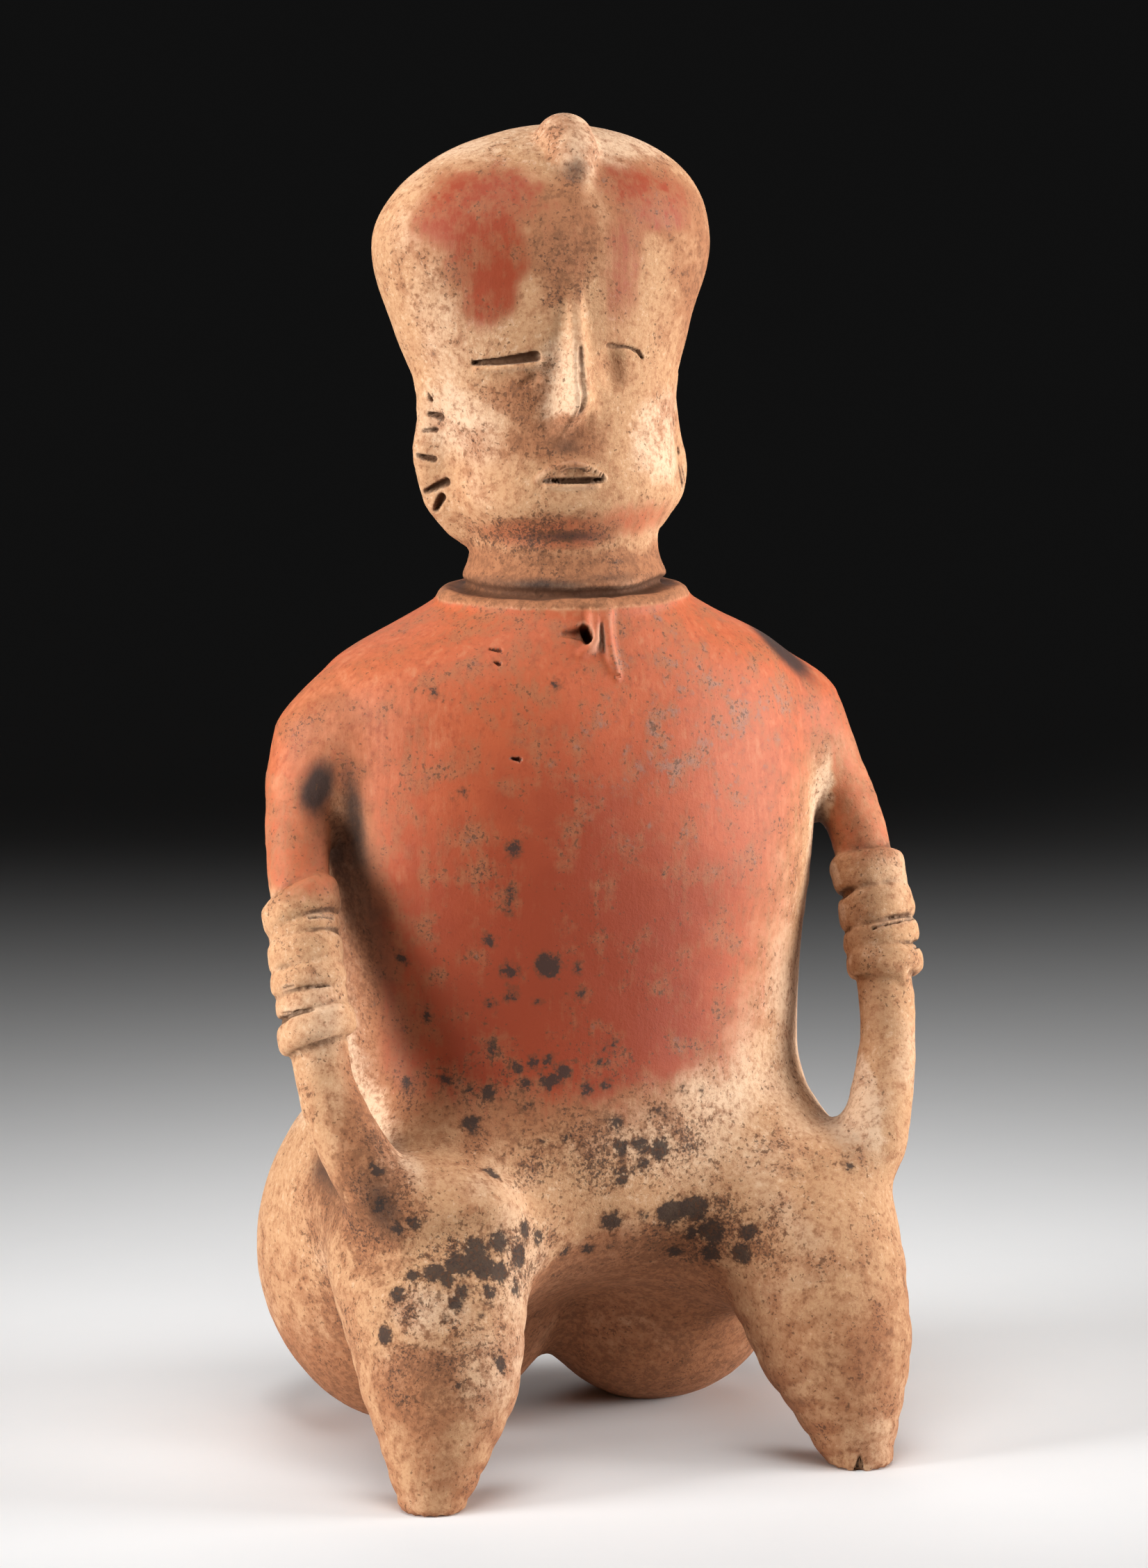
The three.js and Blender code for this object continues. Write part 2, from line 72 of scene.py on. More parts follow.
# Heights
CROTCH, HIP, WAIST, ELBOW, CHEST, SHOULDER, COLLAR = 54, 98, 160, 165, 222, 262, 308
JAW, MOUTH, CHEEK, BROW, SKULL, CROWN, KNOB_TOP = 345, 353, 374, 418, 432, 474.5, 480
SLOPE = (SHOULDER + COLLAR) / 2
NECK = (COLLAR + JAW) / 2

# The head's shift, setback, turn and lean, and the neck it stands on
HEAD_SHIFT, HEAD_SETBACK, FACE_TURN, CROWN_LEAN = 3, 14, 6, 6
NECK_WIDE, NECK_JOIN = 35, 7
COLLAR_WIDE, COLLAR_DEEP = 44, 41
CHEST_SHIFT, WAIST_SHIFT, SLOPE_SHIFT = 1, 0.8, 2.5

# The seat's lobes: how far they lie to the sides and back
SEAT_SPACING, SEAT_BACK = 47, 31

# How softly each form runs into the body
SEAT_JOIN, LEG_JOIN, ARM_JOIN, EAR_JOIN = 18, 26, 14, 9
SPUR_JOIN, KNOB_JOIN, NOSE_JOIN, LIP_JOIN = 7, 2.5, 2.2, 1.6

# Level ovals of the trunk and the head: height, half width, half depth, middle x, middle y
TRUNK_ROWS = (
    (HIP, 90, 69, 0, 3),
    (WAIST, 87.4, 61, WAIST_SHIFT, 0),
    (CHEST, 94, 62, WAIST_SHIFT, 0),
    (SHOULDER, 94, 57, -CHEST_SHIFT, 0),
    (SLOPE, 85, 51, -SLOPE_SHIFT, 0),
    (COLLAR, COLLAR_WIDE, COLLAR_DEEP, 0, 0),
    (NECK - NECK_JOIN, NECK_WIDE, 33, 0, 0),
    (NECK + NECK_JOIN, NECK_WIDE, 33, 0, 2),
)
HEAD_ROWS = (
    (JAW, 43, 39, 0, HEAD_SETBACK * 0.3),
    (CHEEK, 45, 39, -HEAD_SHIFT * 0.8, HEAD_SETBACK * 0.6),
    ((CHEEK + SKULL) / 2, 55, 42, -HEAD_SHIFT * 1.2, HEAD_SETBACK * 0.9),
    (SKULL, 63, 43, -HEAD_SHIFT, HEAD_SETBACK),
)

# Coils of the armbands: height, half height, outer radius, thickness, tilts outwards and forwards, and shift
COILS = {
    -1: (
        (204, 5.9, 14.2, 4.6, -3, 1.5, 0.6),
        (196.4, 3.2, 12.6, 3.4, -1.5, 0.8, 0.4),
        (188.6, 5.6, 13.3, 3.2, -0.5, 0.6, 0.8),
        (180.2, 4.4, 13.3, 3, -0.8, 0.3, 0.9),
        (172.8, 4.1, 12.7, 3, -0.8, 0.2, 0.5),
        (163.6, 5.8, 14.2, 4.6, -2, 1, 0),
    ),
    1: (
        (202.4, 7.2, 13.8, 4, -0.5, 0, 0.8),
        (190.6, 6.6, 14.1, 3.8, 1, 0, 1),
        (180.4, 4.6, 14, 3.4, 0.6, -0.3, 1),
        (171.6, 5, 14.1, 4.2, -0.5, 0.5, 1),
    ),
}

# How flat the ears are, and their outer edges beside the head's middle, from their tops down
EAR_SQUEEZE = 0.62
EAR_EDGES = {-1: (47, 49.7, 52.5, 52, 49, 41), 1: (43, 45.5, 48.8, 51.4, 51, 44)}

# The mouth's place, in degrees to the figure's right of the middle of the face
MOUTH_ANGLE = 3

# The nose: the height of its base, and its half widths at the top and along its ridge
NOSE_BASE, NOSE_TOP, NOSE_RIDGE = 371, 2, 1.7

# How far beside the middle the hole under the collar is
HOLE_X = -9

# Half widths of the collar's edge and of the gutter behind it
COLLAR_EDGE, GUTTER = 42, 38

# Boxes round what is laid on the head and on the collar, and the room left round an arm's middle
HEAD_BOX = (-80, -60, 325), (80, 60, 500)
COLLAR_BOX = (-60, -65, 275), (60, 60, 325)
ARM_ROOM = 24

# How near the surface the kneading reaches, and how far beside a mark the skin is still finest
KNEADED, BESIDE_MARK = 7, 1.5

# The room that the skin is meshed in: half its depth, and what is added in front and at the top and bottom
ROOM_DEEP, ROOM_FRONT, ROOM_ENDS = 104, 6, 4

# The skin's lattice step, and its longest edges in plain, detailed and cut places
NET_STEP = 2.65
PLAIN_EDGE, DETAIL_EDGE, CUT_EDGE = 1.7 * NET_STEP, 1.9, 0.8

# How many points are worked out at once
BLOCK = 60000

# Boxes where the skin is finer: the face, the knob, the armbands and the collar
FINE_PLACES = (
    ((-60, -60, 326), (55, 12, 424)),
    ((-20, -40, 445), (15, 20, 490)),
    ((-130, -70, 150), (-90, 0, 216)),
    ((90, -70, 150), (130, 0, 216)),
    ((-60, -60, 280), (60, 60, 318)),
)

# Shares painted on the skin, from 0 to 1, save stain, the distance in mm to the nearest mineral spot
PAINTED = ("slip", "thick", "smoke", "tan", "pale", "stain", "freckle", "bloom", "hollow", "ridge")

# The floor's half width in metres, and the point that the lights and the camera look at
FLOOR_REACH = 30
LOOK_AT = (3.8, 0, 237.7)

# Soft lights: name, turn and rise seen from the camera in degrees, and distance, width and height in metres
LIGHTS = (
    ("left_light", -66, 8, 1.2, 0.5, 1.2),
    ("right_light", 87, 2, 1.2, 0.6, 1),
    ("top_light", 0, 74, 1.2, 0.8, 0.7),
    ("back_light", 180, 34, 1.7, 1.4, 1),
)


# Properties


def linear(hex_colour):
    """Linear RGB of an sRGB hex colour"""
    shares = [int(hex_colour[i:i + 2], 16) / 255 for i in (0, 2, 4)]
    return tuple(s / 12.92 if s <= 0.04045 else ((s + 0.055) / 1.055) ** 2.4 for s in shares)


def length(name, millimetres, description):
    return FloatProperty(name=name, description=description, default=millimetres * MM, min=0, unit="LENGTH")


def colour(name, hex_colour, description):
    return FloatVectorProperty(
        name=name, description=description, subtype="COLOR", default=linear(hex_colour), min=0, max=1)


def power(name, watts, description):
    return FloatProperty(name=name, description=description, default=watts, min=0, unit="POWER")


def angle(name, degrees, description):
    return FloatProperty(name=name, description=description, default=math.radians(degrees), unit="ROTATION")


class FigureSizes(bpy.types.PropertyGroup):
    right_seat: length("Right seat", 58, "Half width of the seat's right lobe")
    right_seat_tall: length("Right seat height", 67, "Half height of the seat's right lobe")
    left_seat: length("Left seat", 49, "Half width and half height of the seat's left lobe")
    thigh: length("Thigh", 38, "Radius of the thighs")
    knee: length("Knee", 37, "Radius of the knees")
    calf: length("Calf", 28.5, "Radius of the stub legs")
    foot: length("Foot", 12.3, "Radius of the feet")
    shoulder: length("Shoulder", 19, "Radius of the arms at the shoulder")
    arm: length("Arm", 10, "Radius of the rolled arms")
    wrist: length("Wrist", 11.5, "Radius of the arms at the wrist")
    spread: length("Arm spread", 108.5, "From the middle of the body to the middle of an arm")
    collar: length("Collar", 2.9, "Radius of the turned-up edge round the neck")
    ear: length("Ear", 6.3, "Half thickness of the ears")
    knob: length("Knob", 10.6, "Radius of the knob on the crown")
    nose: length("Nose", 9.5, "Half width of the nose at its base")
    nose_proud: length("Nose height", 8, "How far the tip of the nose stands out")
    hole: length("Hole", 2.4, "Radius of the hole under the collar")
    tie: length("Tie", 2.2, "Radius of the two strands of the tie")


class FigureColours(bpy.types.PropertyGroup):
    buff: colour("Buff", "be916a", "Bare fired clay")
    cream: colour("Cream", "dab899", "Where the clay fired palest")
    # Tan is also the painted shade on the undersides of the lower body and on the flank beside the right arm
    tan: colour("Tan", "9b6341", "Iron-rich streaks and mottling")
    umber: colour("Umber", "5b3a24", "Brown specks and the darkest mottling")
    slip: colour("Red slip", "b15531", "Burnished iron slip")
    deep_slip: colour("Deep slip", "8c371c", "Slip where it lies thickest")
    # Fire clouds, and also the painted shadow that the right arm casts down its flank
    smoke: colour("Smoke", "26211f", "Fire clouds")
    mineral: colour("Mineral", "2b2522", "Manganese spots")
    ash: colour("Ash", "857d74", "Grey bloom in the clay")
    # Painted shade in the creases and cuts, and the earth left in them
    dirt: colour("Dirt", "4a2e1d", "Earth left in the hollows")


class FigureStudio(bpy.types.PropertyGroup):
    turn: angle("Camera turn", 21, "How far the camera stands to the figure's right")
    rise: angle("Camera rise", 9.5, "How far the camera looks down")
    distance: FloatProperty(
        name="Camera distance", description="From the camera to the figure",
        default=2.2, min=0.5, unit="LENGTH")
    lens: FloatProperty(
        name="Lens", description="Focal length of the camera", default=139.6, min=20, unit="CAMERA")
    floor: colour("Floor", "f4f4f4", "Plain studio floor")
    left_light: power("Left light", 4.8, "Power of the soft light on the camera's left")
    right_light: power("Right light", 5.3, "Power of the soft light on the camera's right")
    top_light: power("Top light", 1.5, "Power of the soft light above")
    back_light: power("Back light", 1, "Power of the soft light behind")
    spread: angle("Spread", 55, "How wide the soft lights throw")
    fill: FloatProperty(
        name="Fill", description="Even light from all around", default=0.006, min=0, subtype="FACTOR")


# Fields over points, one row of x, y and z each: negative inside a form, and about the distance outside it


def join(a, b, softness):
    near = np.maximum(softness - np.abs(a - b), 0) / softness
    return np.minimum(a, b) - near * near * softness / 4


def meet(a, b, softness):
    """What is in both"""
    return -join(-a, -b, softness)


def span(vectors):
    return np.sqrt(np.einsum("...i,...i", vectors, vectors))


def oval(p, centre, halves):
    q = (p - centre) / halves
    reach = span(q)
    return reach * (reach - 1) / np.maximum(span(q / halves), 1e-9)


def limb(p, start, end):
    """A tapered round bar between two stops, each x, y, z and radius"""
    start, end = np.asarray(start, float), np.asarray(end, float)
    way = end[:3] - start[:3]
    share = np.clip((p - start[:3]) @ way / (way @ way), 0, 1)
    return span(p - start[:3] - share[:, None] * way) - start[3] - (end[3] - start[3]) * share


def chain(p, stops):
    return np.minimum.reduce([limb(p, start, end) for start, end in zip(stops, stops[1:])])


def rows_at(rows, z):
    """Half width, half depth, x and y of a stack of ovals at each height, on a curve with upright ends"""
    table = np.array(rows, float)
    heights, values = table[:, 0], table[:, 1:]
    steps = np.diff(heights)
    last = len(steps)
    z = np.clip(z, heights[0], heights[-1])
    after = np.clip(np.searchsorted(heights, z, side="right"), 1, last)
    gap = steps[after - 1]
    p = ((z - heights[after - 1]) / gap)[:, None]
    at_start, at_end = (after == 1)[:, None], (after == last)[:, None]
    before = np.where(at_start, values[after], values[np.maximum(after - 2, 0)])
    beyond = np.where(at_end, values[after - 1], values[np.minimum(after + 1, last)])
    w_before = np.where(at_start, 0.5, (gap / steps[np.maximum(after - 2, 0)] / 2)[:, None])
    w_beyond = np.where(at_end, 0.5, (gap / steps[np.minimum(after, last - 1)] / 2)[:, None])
    leaving = (1 + w_before) * p ** 3 - (1.5 + 2 * w_before) * p ** 2 + (w_before - 0.5) * p + 1
    return (
        before * w_before * (2 * p ** 2 - p ** 3 - p)
        + values[after - 1] * leaving
        + values[after] * ((1.5 + w_beyond) * p ** 2 - (1 + w_beyond) * p ** 3 + 0.5 * p)
        + beyond * w_beyond * (p ** 3 - p ** 2)
    )


def stack(p, rows, top_rise, bottom_rise, lean=0):
    """Level ovals in a smooth stack, with a domed bottom and a domed, leaning top"""
    wide, deep, x, y = rows_at(rows, p[:, 2]).T
    above = np.maximum(p[:, 2] - rows[-1][0], 0) / top_rise
    below = np.maximum(rows[0][0] - p[:, 2], 0) / bottom_rise
    middle = x + lean * np.minimum(above ** 2, 1)
    reach = np.sqrt(((p[:, 0] - middle) / wide) ** 2 + ((p[:, 1] - y) / deep) ** 2 + above ** 2 + below ** 2)
    return (reach - 1) * np.minimum(wide, deep)


def noise(p, size, seed):
    """Smooth noise from -1 to 1 with bumps about size across"""
    table = np.random.default_rng(seed).uniform(-1, 1, 4096)
    q = p / size
    cell = np.floor(q).astype(np.int64)
    t = q - cell
    t = t * t * (3 - 2 * t)
    total = np.zeros(len(p))
    for corner in np.ndindex(2, 2, 2):
        i, j, k = (cell + corner).T
        weight = np.prod(np.where(corner, t, 1 - t), axis=1)
        total += weight * table[(i * 73856093 ^ j * 19349663 ^ k * 83492791) & 4095]
    return total


def smooth_route(stops, steps):
    """Stops on a smooth curve through the given ones, with their radii between"""
    stops = np.asarray(stops, float)
    ends = np.vstack([2 * stops[0] - stops[1], stops, 2 * stops[-1] - stops[-2]])
    route = []
    for i in range(1, len(ends) - 2):
        a, b, c, d = ends[i - 1:i + 3]
        ab, bc, cd = (math.sqrt(span(v[:3])) for v in (b - a, c - b, d - c))
        leave = ((b - a) / ab - (c - a) / (ab + bc) + (c - b) / bc) * bc
        reach = ((c - b) / bc - (d - b) / (bc + cd) + (d - c) / cd) * bc
        for t in np.arange(steps) / steps:
            stop = b + leave * t + (3 * (c - b) - 2 * leave - reach) * t ** 2
            stop += (2 * (b - c) + leave + reach) * t ** 3
            stop[3] = b[3] + (c[3] - b[3]) * t
            route.append(stop)
    return np.vstack([route, stops[-1]])


# The figure's forms


class Figure:
    """The whole figure as one field, with the places of its details"""

    def __init__(self, sizes):
        self.s = sizes
        self.seats = [self.seat(side) for side in SIDES]
        self.legs = [smooth_route(self.leg(side), 4) for side in SIDES]
        self.arms = [self.arm(side) for side in SIDES]
        self.routes = [smooth_route(arm, 6) for arm in self.arms]
        self.ears = [smooth_route(self.ear(side), 4) for side in SIDES]
        self.coils = [self.coil_places(side, route) for side, route in zip(SIDES, self.routes)]
        self.lips = self.lip_routes()
        self.strands = self.tie_strands()
        self.marks = self.pressed_marks()

    def seat(self, side):
        wide = self.s.right_seat if side < 0 else self.s.left_seat
        tall = self.s.right_seat_tall if side < 0 else self.s.left_seat
        return (side * SEAT_SPACING, SEAT_BACK, tall - 2), (wide, wide, tall)

    def leg(self, side):
        s = self.s
        return (
            (side * 42, 0, HIP - 14, s.thigh),
            (side * 69, -48, 80, s.knee),
            (side * 75.25, -74, 44, s.calf),
            (side * 81.5 - 2, -89, s.foot / 3, s.foot),
        )

    def arm(self, side):
        """The right hand runs on along its thigh, and the left one ends at the hip"""
        s = self.s
        forearm = ELBOW - HIP
        shoulder_x = side * (s.spread - s.shoulder) - CHEST_SHIFT
        wrist_share, hand_share, hand_y = (0.86, 0.56, -72) if side < 0 else (0.89, 0.8, -60)
        return (
            (shoulder_x, 0, SHOULDER - 6, s.shoulder),
            (shoulder_x + side * s.shoulder * 0.4, -4, SHOULDER - 18, s.shoulder * 0.8),
            (side * s.spread * 0.985, -16, CHEST, s.arm * 1.08),
            (side * s.spread, -30, (CHEST + ELBOW) / 2, s.arm),
            (side * s.spread * 1.005, -41, ELBOW, s.arm),
            (side * s.spread * 0.98, -49.7, ELBOW - forearm * 0.4, s.arm),
            (side * s.spread * wrist_share, -60, HIP + forearm * 0.18, s.wrist),
            (side * s.spread * hand_share, hand_y, HIP, s.wrist),
        )

    def ear(self, side):
        """Stops down the middle of an ear, in a space squeezed sideways so that a round bar is a flange"""
        radius = self.s.ear
        top, fall = CHEEK + 7, 9.4
        edges = (side * (edge - radius / EAR_SQUEEZE) - HEAD_SHIFT / 2 for edge in EAR_EDGES[side])
        return [(EAR_SQUEEZE * x, HEAD_SETBACK * 0.6, top - fall * i, radius) for i, x in enumerate(edges)]

    def trunk(self, p):
        return stack(p, TRUNK_ROWS, NECK_WIDE / 2, HIP - CROTCH)

    def head(self, p):
        return stack(p, HEAD_ROWS, CROWN - SKULL, JAW - NECK + 2, CROWN_LEAN)

    def plain(self, p):
        """The body with its shoulders, lap and head, before arms and details"""
        value = self.trunk(p)
        for centre, halves in self.seats:
            value = join(value, oval(p, centre, halves), SEAT_JOIN)
        for leg in self.legs:
            value = join(value, chain(p, leg), LEG_JOIN)
        for arm in self.arms:
            value = join(value, chain(p, arm[:2]), ARM_JOIN)
            value = join(value, chain(p, arm[-3:]), ARM_JOIN)
        return join(value, self.head(p), NECK_JOIN)

    def on_head(self, degrees, height, lift=0):
        """A point on the head, by its angle to the figure's right of the face's middle"""
        turn = math.radians(degrees + FACE_TURN)
        out = np.array([-math.sin(turn), -math.cos(turn), 0])
        point = np.array([[-HEAD_SHIFT, HEAD_SETBACK * 0.6, height]])
        for _ in range(20):
            point -= out * self.head(point)[:, None]
        return point[0] + out * lift

    def on_front(self, x, z, lift=0):
        """A point on the front of the plain body"""
        return self.on_fronts([x], [z])[0] - (0, lift, 0)

    def on_fronts(self, x, z):
        """Points on the front of the plain body, reached from well ahead of it"""
        start, rounds, pace = -115.0, 30, 0.85
        points = np.column_stack([x, np.full(len(x), start), z])
        for _ in range(rounds):
            points[:, 1] += self.plain(points) * pace
        return points

    def coil_places(self, side, route):
        """Each armband coil with its middle on the arm and the directions along it, forwards and outwards"""
        places = []
        for seed, coil in enumerate(COILS[side]):
            after = int(np.argmax(route[:, 2] < coil[0]))
            above, below = route[after - 1], route[after]
            middle = above + (below - above) * (above[2] - coil[0]) / (above[2] - below[2])
            along = (above - below)[:3] / span((above - below)[:3])
            out = np.array([side, 0, 0]) - along * along[0] * side
            out /= span(out)
            places.append((coil, middle[:3], along, -side * np.cross(along, out), out, seed))
        return places

    def coil(self, p, place):
        """One clay coil round an arm: a section with flat sides swept round it, tilted and uneven"""
        (_, half, outer, proud, tilt, lift, shift), middle, along, front, out, seed = place
        q = p - middle - out * shift
        rise, ahead, aside = q @ along, q @ front, q @ out
        reach = np.hypot(ahead, aside) + 1e-6
        rise = rise - (tilt * aside + lift * ahead) / reach
        outer = outer + 0.5 * noise(p, 7, seed + 10)
        swell = 1 + 0.1 * noise(p, 8, seed)
        section = np.cbrt(np.abs((reach - outer + proud) / proud) ** 3 + np.abs(rise / half / swell) ** 3)
        return (section - 1) * proud

    def lip_routes(self):
        """The raised crescent over the mouth, and the rims under the mouth and the right eye"""
        turn, top, fall, radius = 16, MOUTH + 4.8, 5, 1.5
        upper = []
        for share in (-1, -0.7, -0.35, 0, 0.35, 0.7, 1):
            place = self.on_head(MOUTH_ANGLE + turn * share, top - fall * share * share, 0.1)
            upper.append((*place, radius - 0.7 * abs(share)))
        lower = [(*self.on_head(MOUTH_ANGLE + turn, MOUTH - 2.7, -0.5), 1.1) for turn in (-12, 0, 12)]
        rim = ((-39, 391), (-32, 391.9), (-25, 392.7), (-18, 393.4))
        return upper, lower, [(*self.on_front(x, z, -0.3), 1.1) for x, z in rim]

    def tie_strands(self):
        """Two strands that leave the collar: one curls round the hole, the other hangs down the chest"""
        radius = self.s.tie
        curl = ((-4.2, 308, 1.1), (-5.4, 302, 0.9), (-6, 297.5, 0.85), (-8, 294.6, 0.7), (-12, 292.6, 0.4))
        fall = ((-0.4, 308, 1.2), (-1, 302, 0.95), (-1.4, 296, 0.85), (-0.8, 290, 0.75), (0.8, 284, 0.35))
        return [
            [(*self.on_front(x, z, 0.4), radius * share) for x, z, share in stops]
            for stops in (curl, fall)
        ]

    def nose(self, p):
        """A long wedge with a narrow flat ridge, widest and highest at its base"""
        s = self.s
        turn = math.radians(FACE_TURN)
        across = np.array([math.cos(turn), -math.sin(turn), 0])
        middle = self.on_head(0, CHEEK)
        share = np.clip((BROW - p[:, 2]) / (BROW - NOSE_BASE), 0, 1.2)
        proud = s.nose_proud * share ** 0.7 + 0.4
        half = NOSE_TOP + (s.nose - NOSE_TOP) * np.minimum(share, 0.8)
        out = self.head(p)
        aside = (p - middle) @ across
        side = np.abs(aside)
        flank = (side - half) * proud + out * (half - NOSE_RIDGE)
        flank /= np.hypot(proud, half - NOSE_RIDGE)
        under = (NOSE_BASE + np.clip(aside, -8, 5) * 0.8 - p[:, 2] + out * 0.9) / 1.35
        top = (p[:, 2] - BROW - 4) / 2
        wedge = meet(meet(flank, out - proud, 0.9), under, 2.5)
        behind = p[:, 1] - middle[1] - 14
        return meet(meet(meet(wedge, top, 2), -8 - out, 1), behind, 1)

    def laid_on_head(self, p, value):
        """The ears, the knob with its spur, the nose and the lips"""
        s = self.s
        for ear in self.ears:
            value = join(value, chain(p * (EAR_SQUEEZE, 1, 1), ear), EAR_JOIN)
        knob = (
            (-0.7, -2, KNOB_TOP - s.knob, s.knob),
            (-0.7, -9, KNOB_TOP - 1.35 * s.knob, s.knob * 0.9),
            (-1.5, -15.5, KNOB_TOP - 1.75 * s.knob, s.knob * 0.5),
        )
        value = join(value, chain(p, knob), KNOB_JOIN)
        spur = ((-2, -16, KNOB_TOP - 20, 4), (-4, -22, KNOB_TOP - 28, 1.5))
        value = join(value, chain(p, spur), SPUR_JOIN)
        value = join(value, self.nose(p), NOSE_JOIN)
        for route in self.lips:
            value = join(value, chain(p, route), LIP_JOIN)
        return value

    def laid_on_collar(self, p, value):
        """The thin turned-up edge round the neck, with a gutter behind it, and the tie"""
        s = self.s
        flat = p * (1, COLLAR_WIDE / COLLAR_DEEP, 1) + (CHEST_SHIFT / 2, 0, 0)
        round_neck = np.hypot(flat[:, 0], flat[:, 1])
        corner = np.exp(-span(p - (33, -24, COLLAR)) ** 2 / 150)
        nub = np.exp(-span(p - (-44, -3, COLLAR)) ** 2 / 60)
        height = COLLAR - 0.4 + 2.2 * corner + 0.5 * noise(p, 16, 31)
        thick = s.collar * (1 + 0.5 * nub + 0.15 * noise(p, 9, 32))
        edge = np.hypot(round_neck - COLLAR_EDGE - 1.5 * nub, p[:, 2] - height) - thick
        gutter = np.hypot((round_neck - GUTTER) / 1.8, p[:, 2] - height - 4) - 1.6 - 0.7 * noise(p, 12, 33)
        value = join(value, edge, 4)
        value = meet(value, -gutter, 4)
        for strand in self.strands:
            value = join(value, chain(p, strand), 2.2)
        return value

    def laid_on_arm(self, p, value, i):
        """The arm with its coils, and on the left one the loose end of the lowest coil"""
        value = join(value, chain(p, self.routes[i]), 3)
        for place in self.coils[i]:
            value = join(value, self.coil(p, place), 0.7)
        if i:
            _, middle, along, front, out, _ = self.coils[i][-1]
            reach, stops = 9.5, ((0.9, 1, 4.6), (0.3, -1.5, 4.4), (-0.2, -5, 3.4), (-0.4, -9.5, 1.4))
            tongue = [
                (*(middle + front * reach * math.cos(a) - out * reach * math.sin(a) + along * rise), radius)
                for a, rise, radius in stops
            ]
            value = join(value, chain(p, tongue), 1.5)
        return value

    def laid(self, p):
        """The whole figure before anything is pressed into it"""
        value = self.plain(p)
        groups = [(*HEAD_BOX, self.laid_on_head), (*COLLAR_BOX, self.laid_on_collar)]
        for i, route in enumerate(self.routes):
            low, high = route[:, :3].min(0) - ARM_ROOM, route[:, :3].max(0) + ARM_ROOM
            groups.append((low, high, lambda q, v, i=i: self.laid_on_arm(q, v, i)))
        for low, high, lay in groups:
            near = within(p, low, high)
            value[near] = lay(p[near], value[near])
        return value

    def pressed_marks(self):
        """Slits, notches, cracks and nicks: each its stops with radii, how softly it is cut, and its box"""
        marks = []

        def front(*places):
            return [self.on_front(x, z) for x, z in places]

        def press(points, radii, softness=0.5, depths=(0,)):
            points = self.settled(self.laid, np.array(points, float))
            out = self.out_of(self.laid, points)
            for depth in depths:
                stops = np.column_stack([points - out * depth, radii])
                room = max(radii) + softness + BESIDE_MARK
                marks.append((stops, softness, stops[:, :3].min(0) - room, stops[:, :3].max(0) + room))

        right_eye = front((-40.5, 393.4), (-33, 394.2), (-26.5, 395.2), (-21, 396))
        press(right_eye, (0.8, 1.3, 1.7, 1.8), 0.5, (0.2, 1.2))
        press(front((-21.5, 388.5), (-25, 386)), (1.6, 0.8), 2, (-0.8,))
        left_eye = front((6, 399.4), (14.6, 397.9), (18.5, 396.2), (20.3, 393.9))
        press(left_eye, (0.4, 0.5, 0.7, 0.6), 0.4, (0, 0.8))
        press(front((6.5, 394), (7.5, 388)), (4.5, 4), 4, (-2.4,))
        scrape = ((-6.8, -33, 399), (-6.9, -34, 394), (-6.8, -35.2, 389), (-5.8, -36.4, 382), (-7, -37, 375))
        press(scrape, (0.5, 1, 1.4, 1.4, 0.6), 1.2, (0.3,))
        mouth = front((-19, 352.3), (-13, 352.3), (-5, 352.3), (1.8, 352.3))
        press(mouth, (0.7, 1.2, 1.3, 0.9), 0.3, (0.3, 2.2))
        press(front((-11, 354.6), (-6, 354.6)), (1.7, 1.7), 1.5, (-0.5,))

        hole = self.on_front(HOLE_X, COLLAR - 9)
        well = [hole + (-8, 1, 0.5), hole + (-3, 0, 0.5), hole]
        press(well, (0.8, 2, self.s.hole), 1.6, (0.2,))
        press([hole + (-0.6, 0, 2.2), hole + (0.4, 0, -2)], (1.9, 2), 0.6, (1, 4, 7))
        press(front((-3.2, 302), (-3.4, 298), (-3.8, 293)), (0.4, 0.8, 0.5), 0.6)
        for x, z, wide in ((-41, 294.2, 1.6), (-41.5, 290, 0.7), (-38.6, 257.2, 1.4)):
            press(front((x - wide, z + 0.4), (x + wide, z)), (0.4, 0.8), 0.4, (0, 0.7))

        right_ear = (
            ((-50.3, 2.5, 381.2), (-49.8, 1.5, 379), 0.6),
            ((-51.5, 2, 373.9), (-47, -1.2, 373), 0.9),
            ((-54, 3, 368), (-49.8, -0.5, 368.3), 0.6),
            ((-57, 3, 358.8), (-51, -1, 357.5), 0.8),
            ((-55, 2, 344.6), (-45.5, -0.6, 349.6), 1.1),
            ((-50.5, 2, 336.6), (-48.3, -0.8, 343.6), 1.1),
        )
        left_ear = (
            ((40.6, -3, 369), (40.8, -2.4, 367.6), 0.9),
            ((45.6, -1, 358.2), (46.2, -0.6, 357), 0.8),
            ((44.6, -1.2, 352), (48.6, 0.4, 344), 0.6),
            ((48.4, -0.2, 351), (50.6, 1.4, 346), 0.5),
        )
        for start, end, radius in (*right_ear, *left_ear):
            middle = np.mean([start, end], axis=0)
            press([start, middle, end], (radius * 0.85, radius * 1.2, radius * 1.4), 0.4, (0.2, 1.8))

        cracks = (
            (1, 183.6, 120, -5, 0.55), (1, 175.6, 55, -10, 0.5),
            (-1, 198.3, 130, 80, 0.5), (-1, 176.2, 105, 75, 0.5),
            (-1, 176.6, 45, 25, 0.4), (-1, 168.6, 120, 10, 0.4),
        )
        count, climb, reach = 7, 1.6, 13.5
        for side, height, start, end, radius in cracks:
            turns = np.radians(np.linspace(start, end, count))
            rise = np.linspace(-climb, climb, count) * (side > 0)
            points = [self.round_arm(side, height + lift, turn, reach) for turn, lift in zip(turns, rise)]
            press(points, [radius] * count, 0.3, (0.3, 1.4))

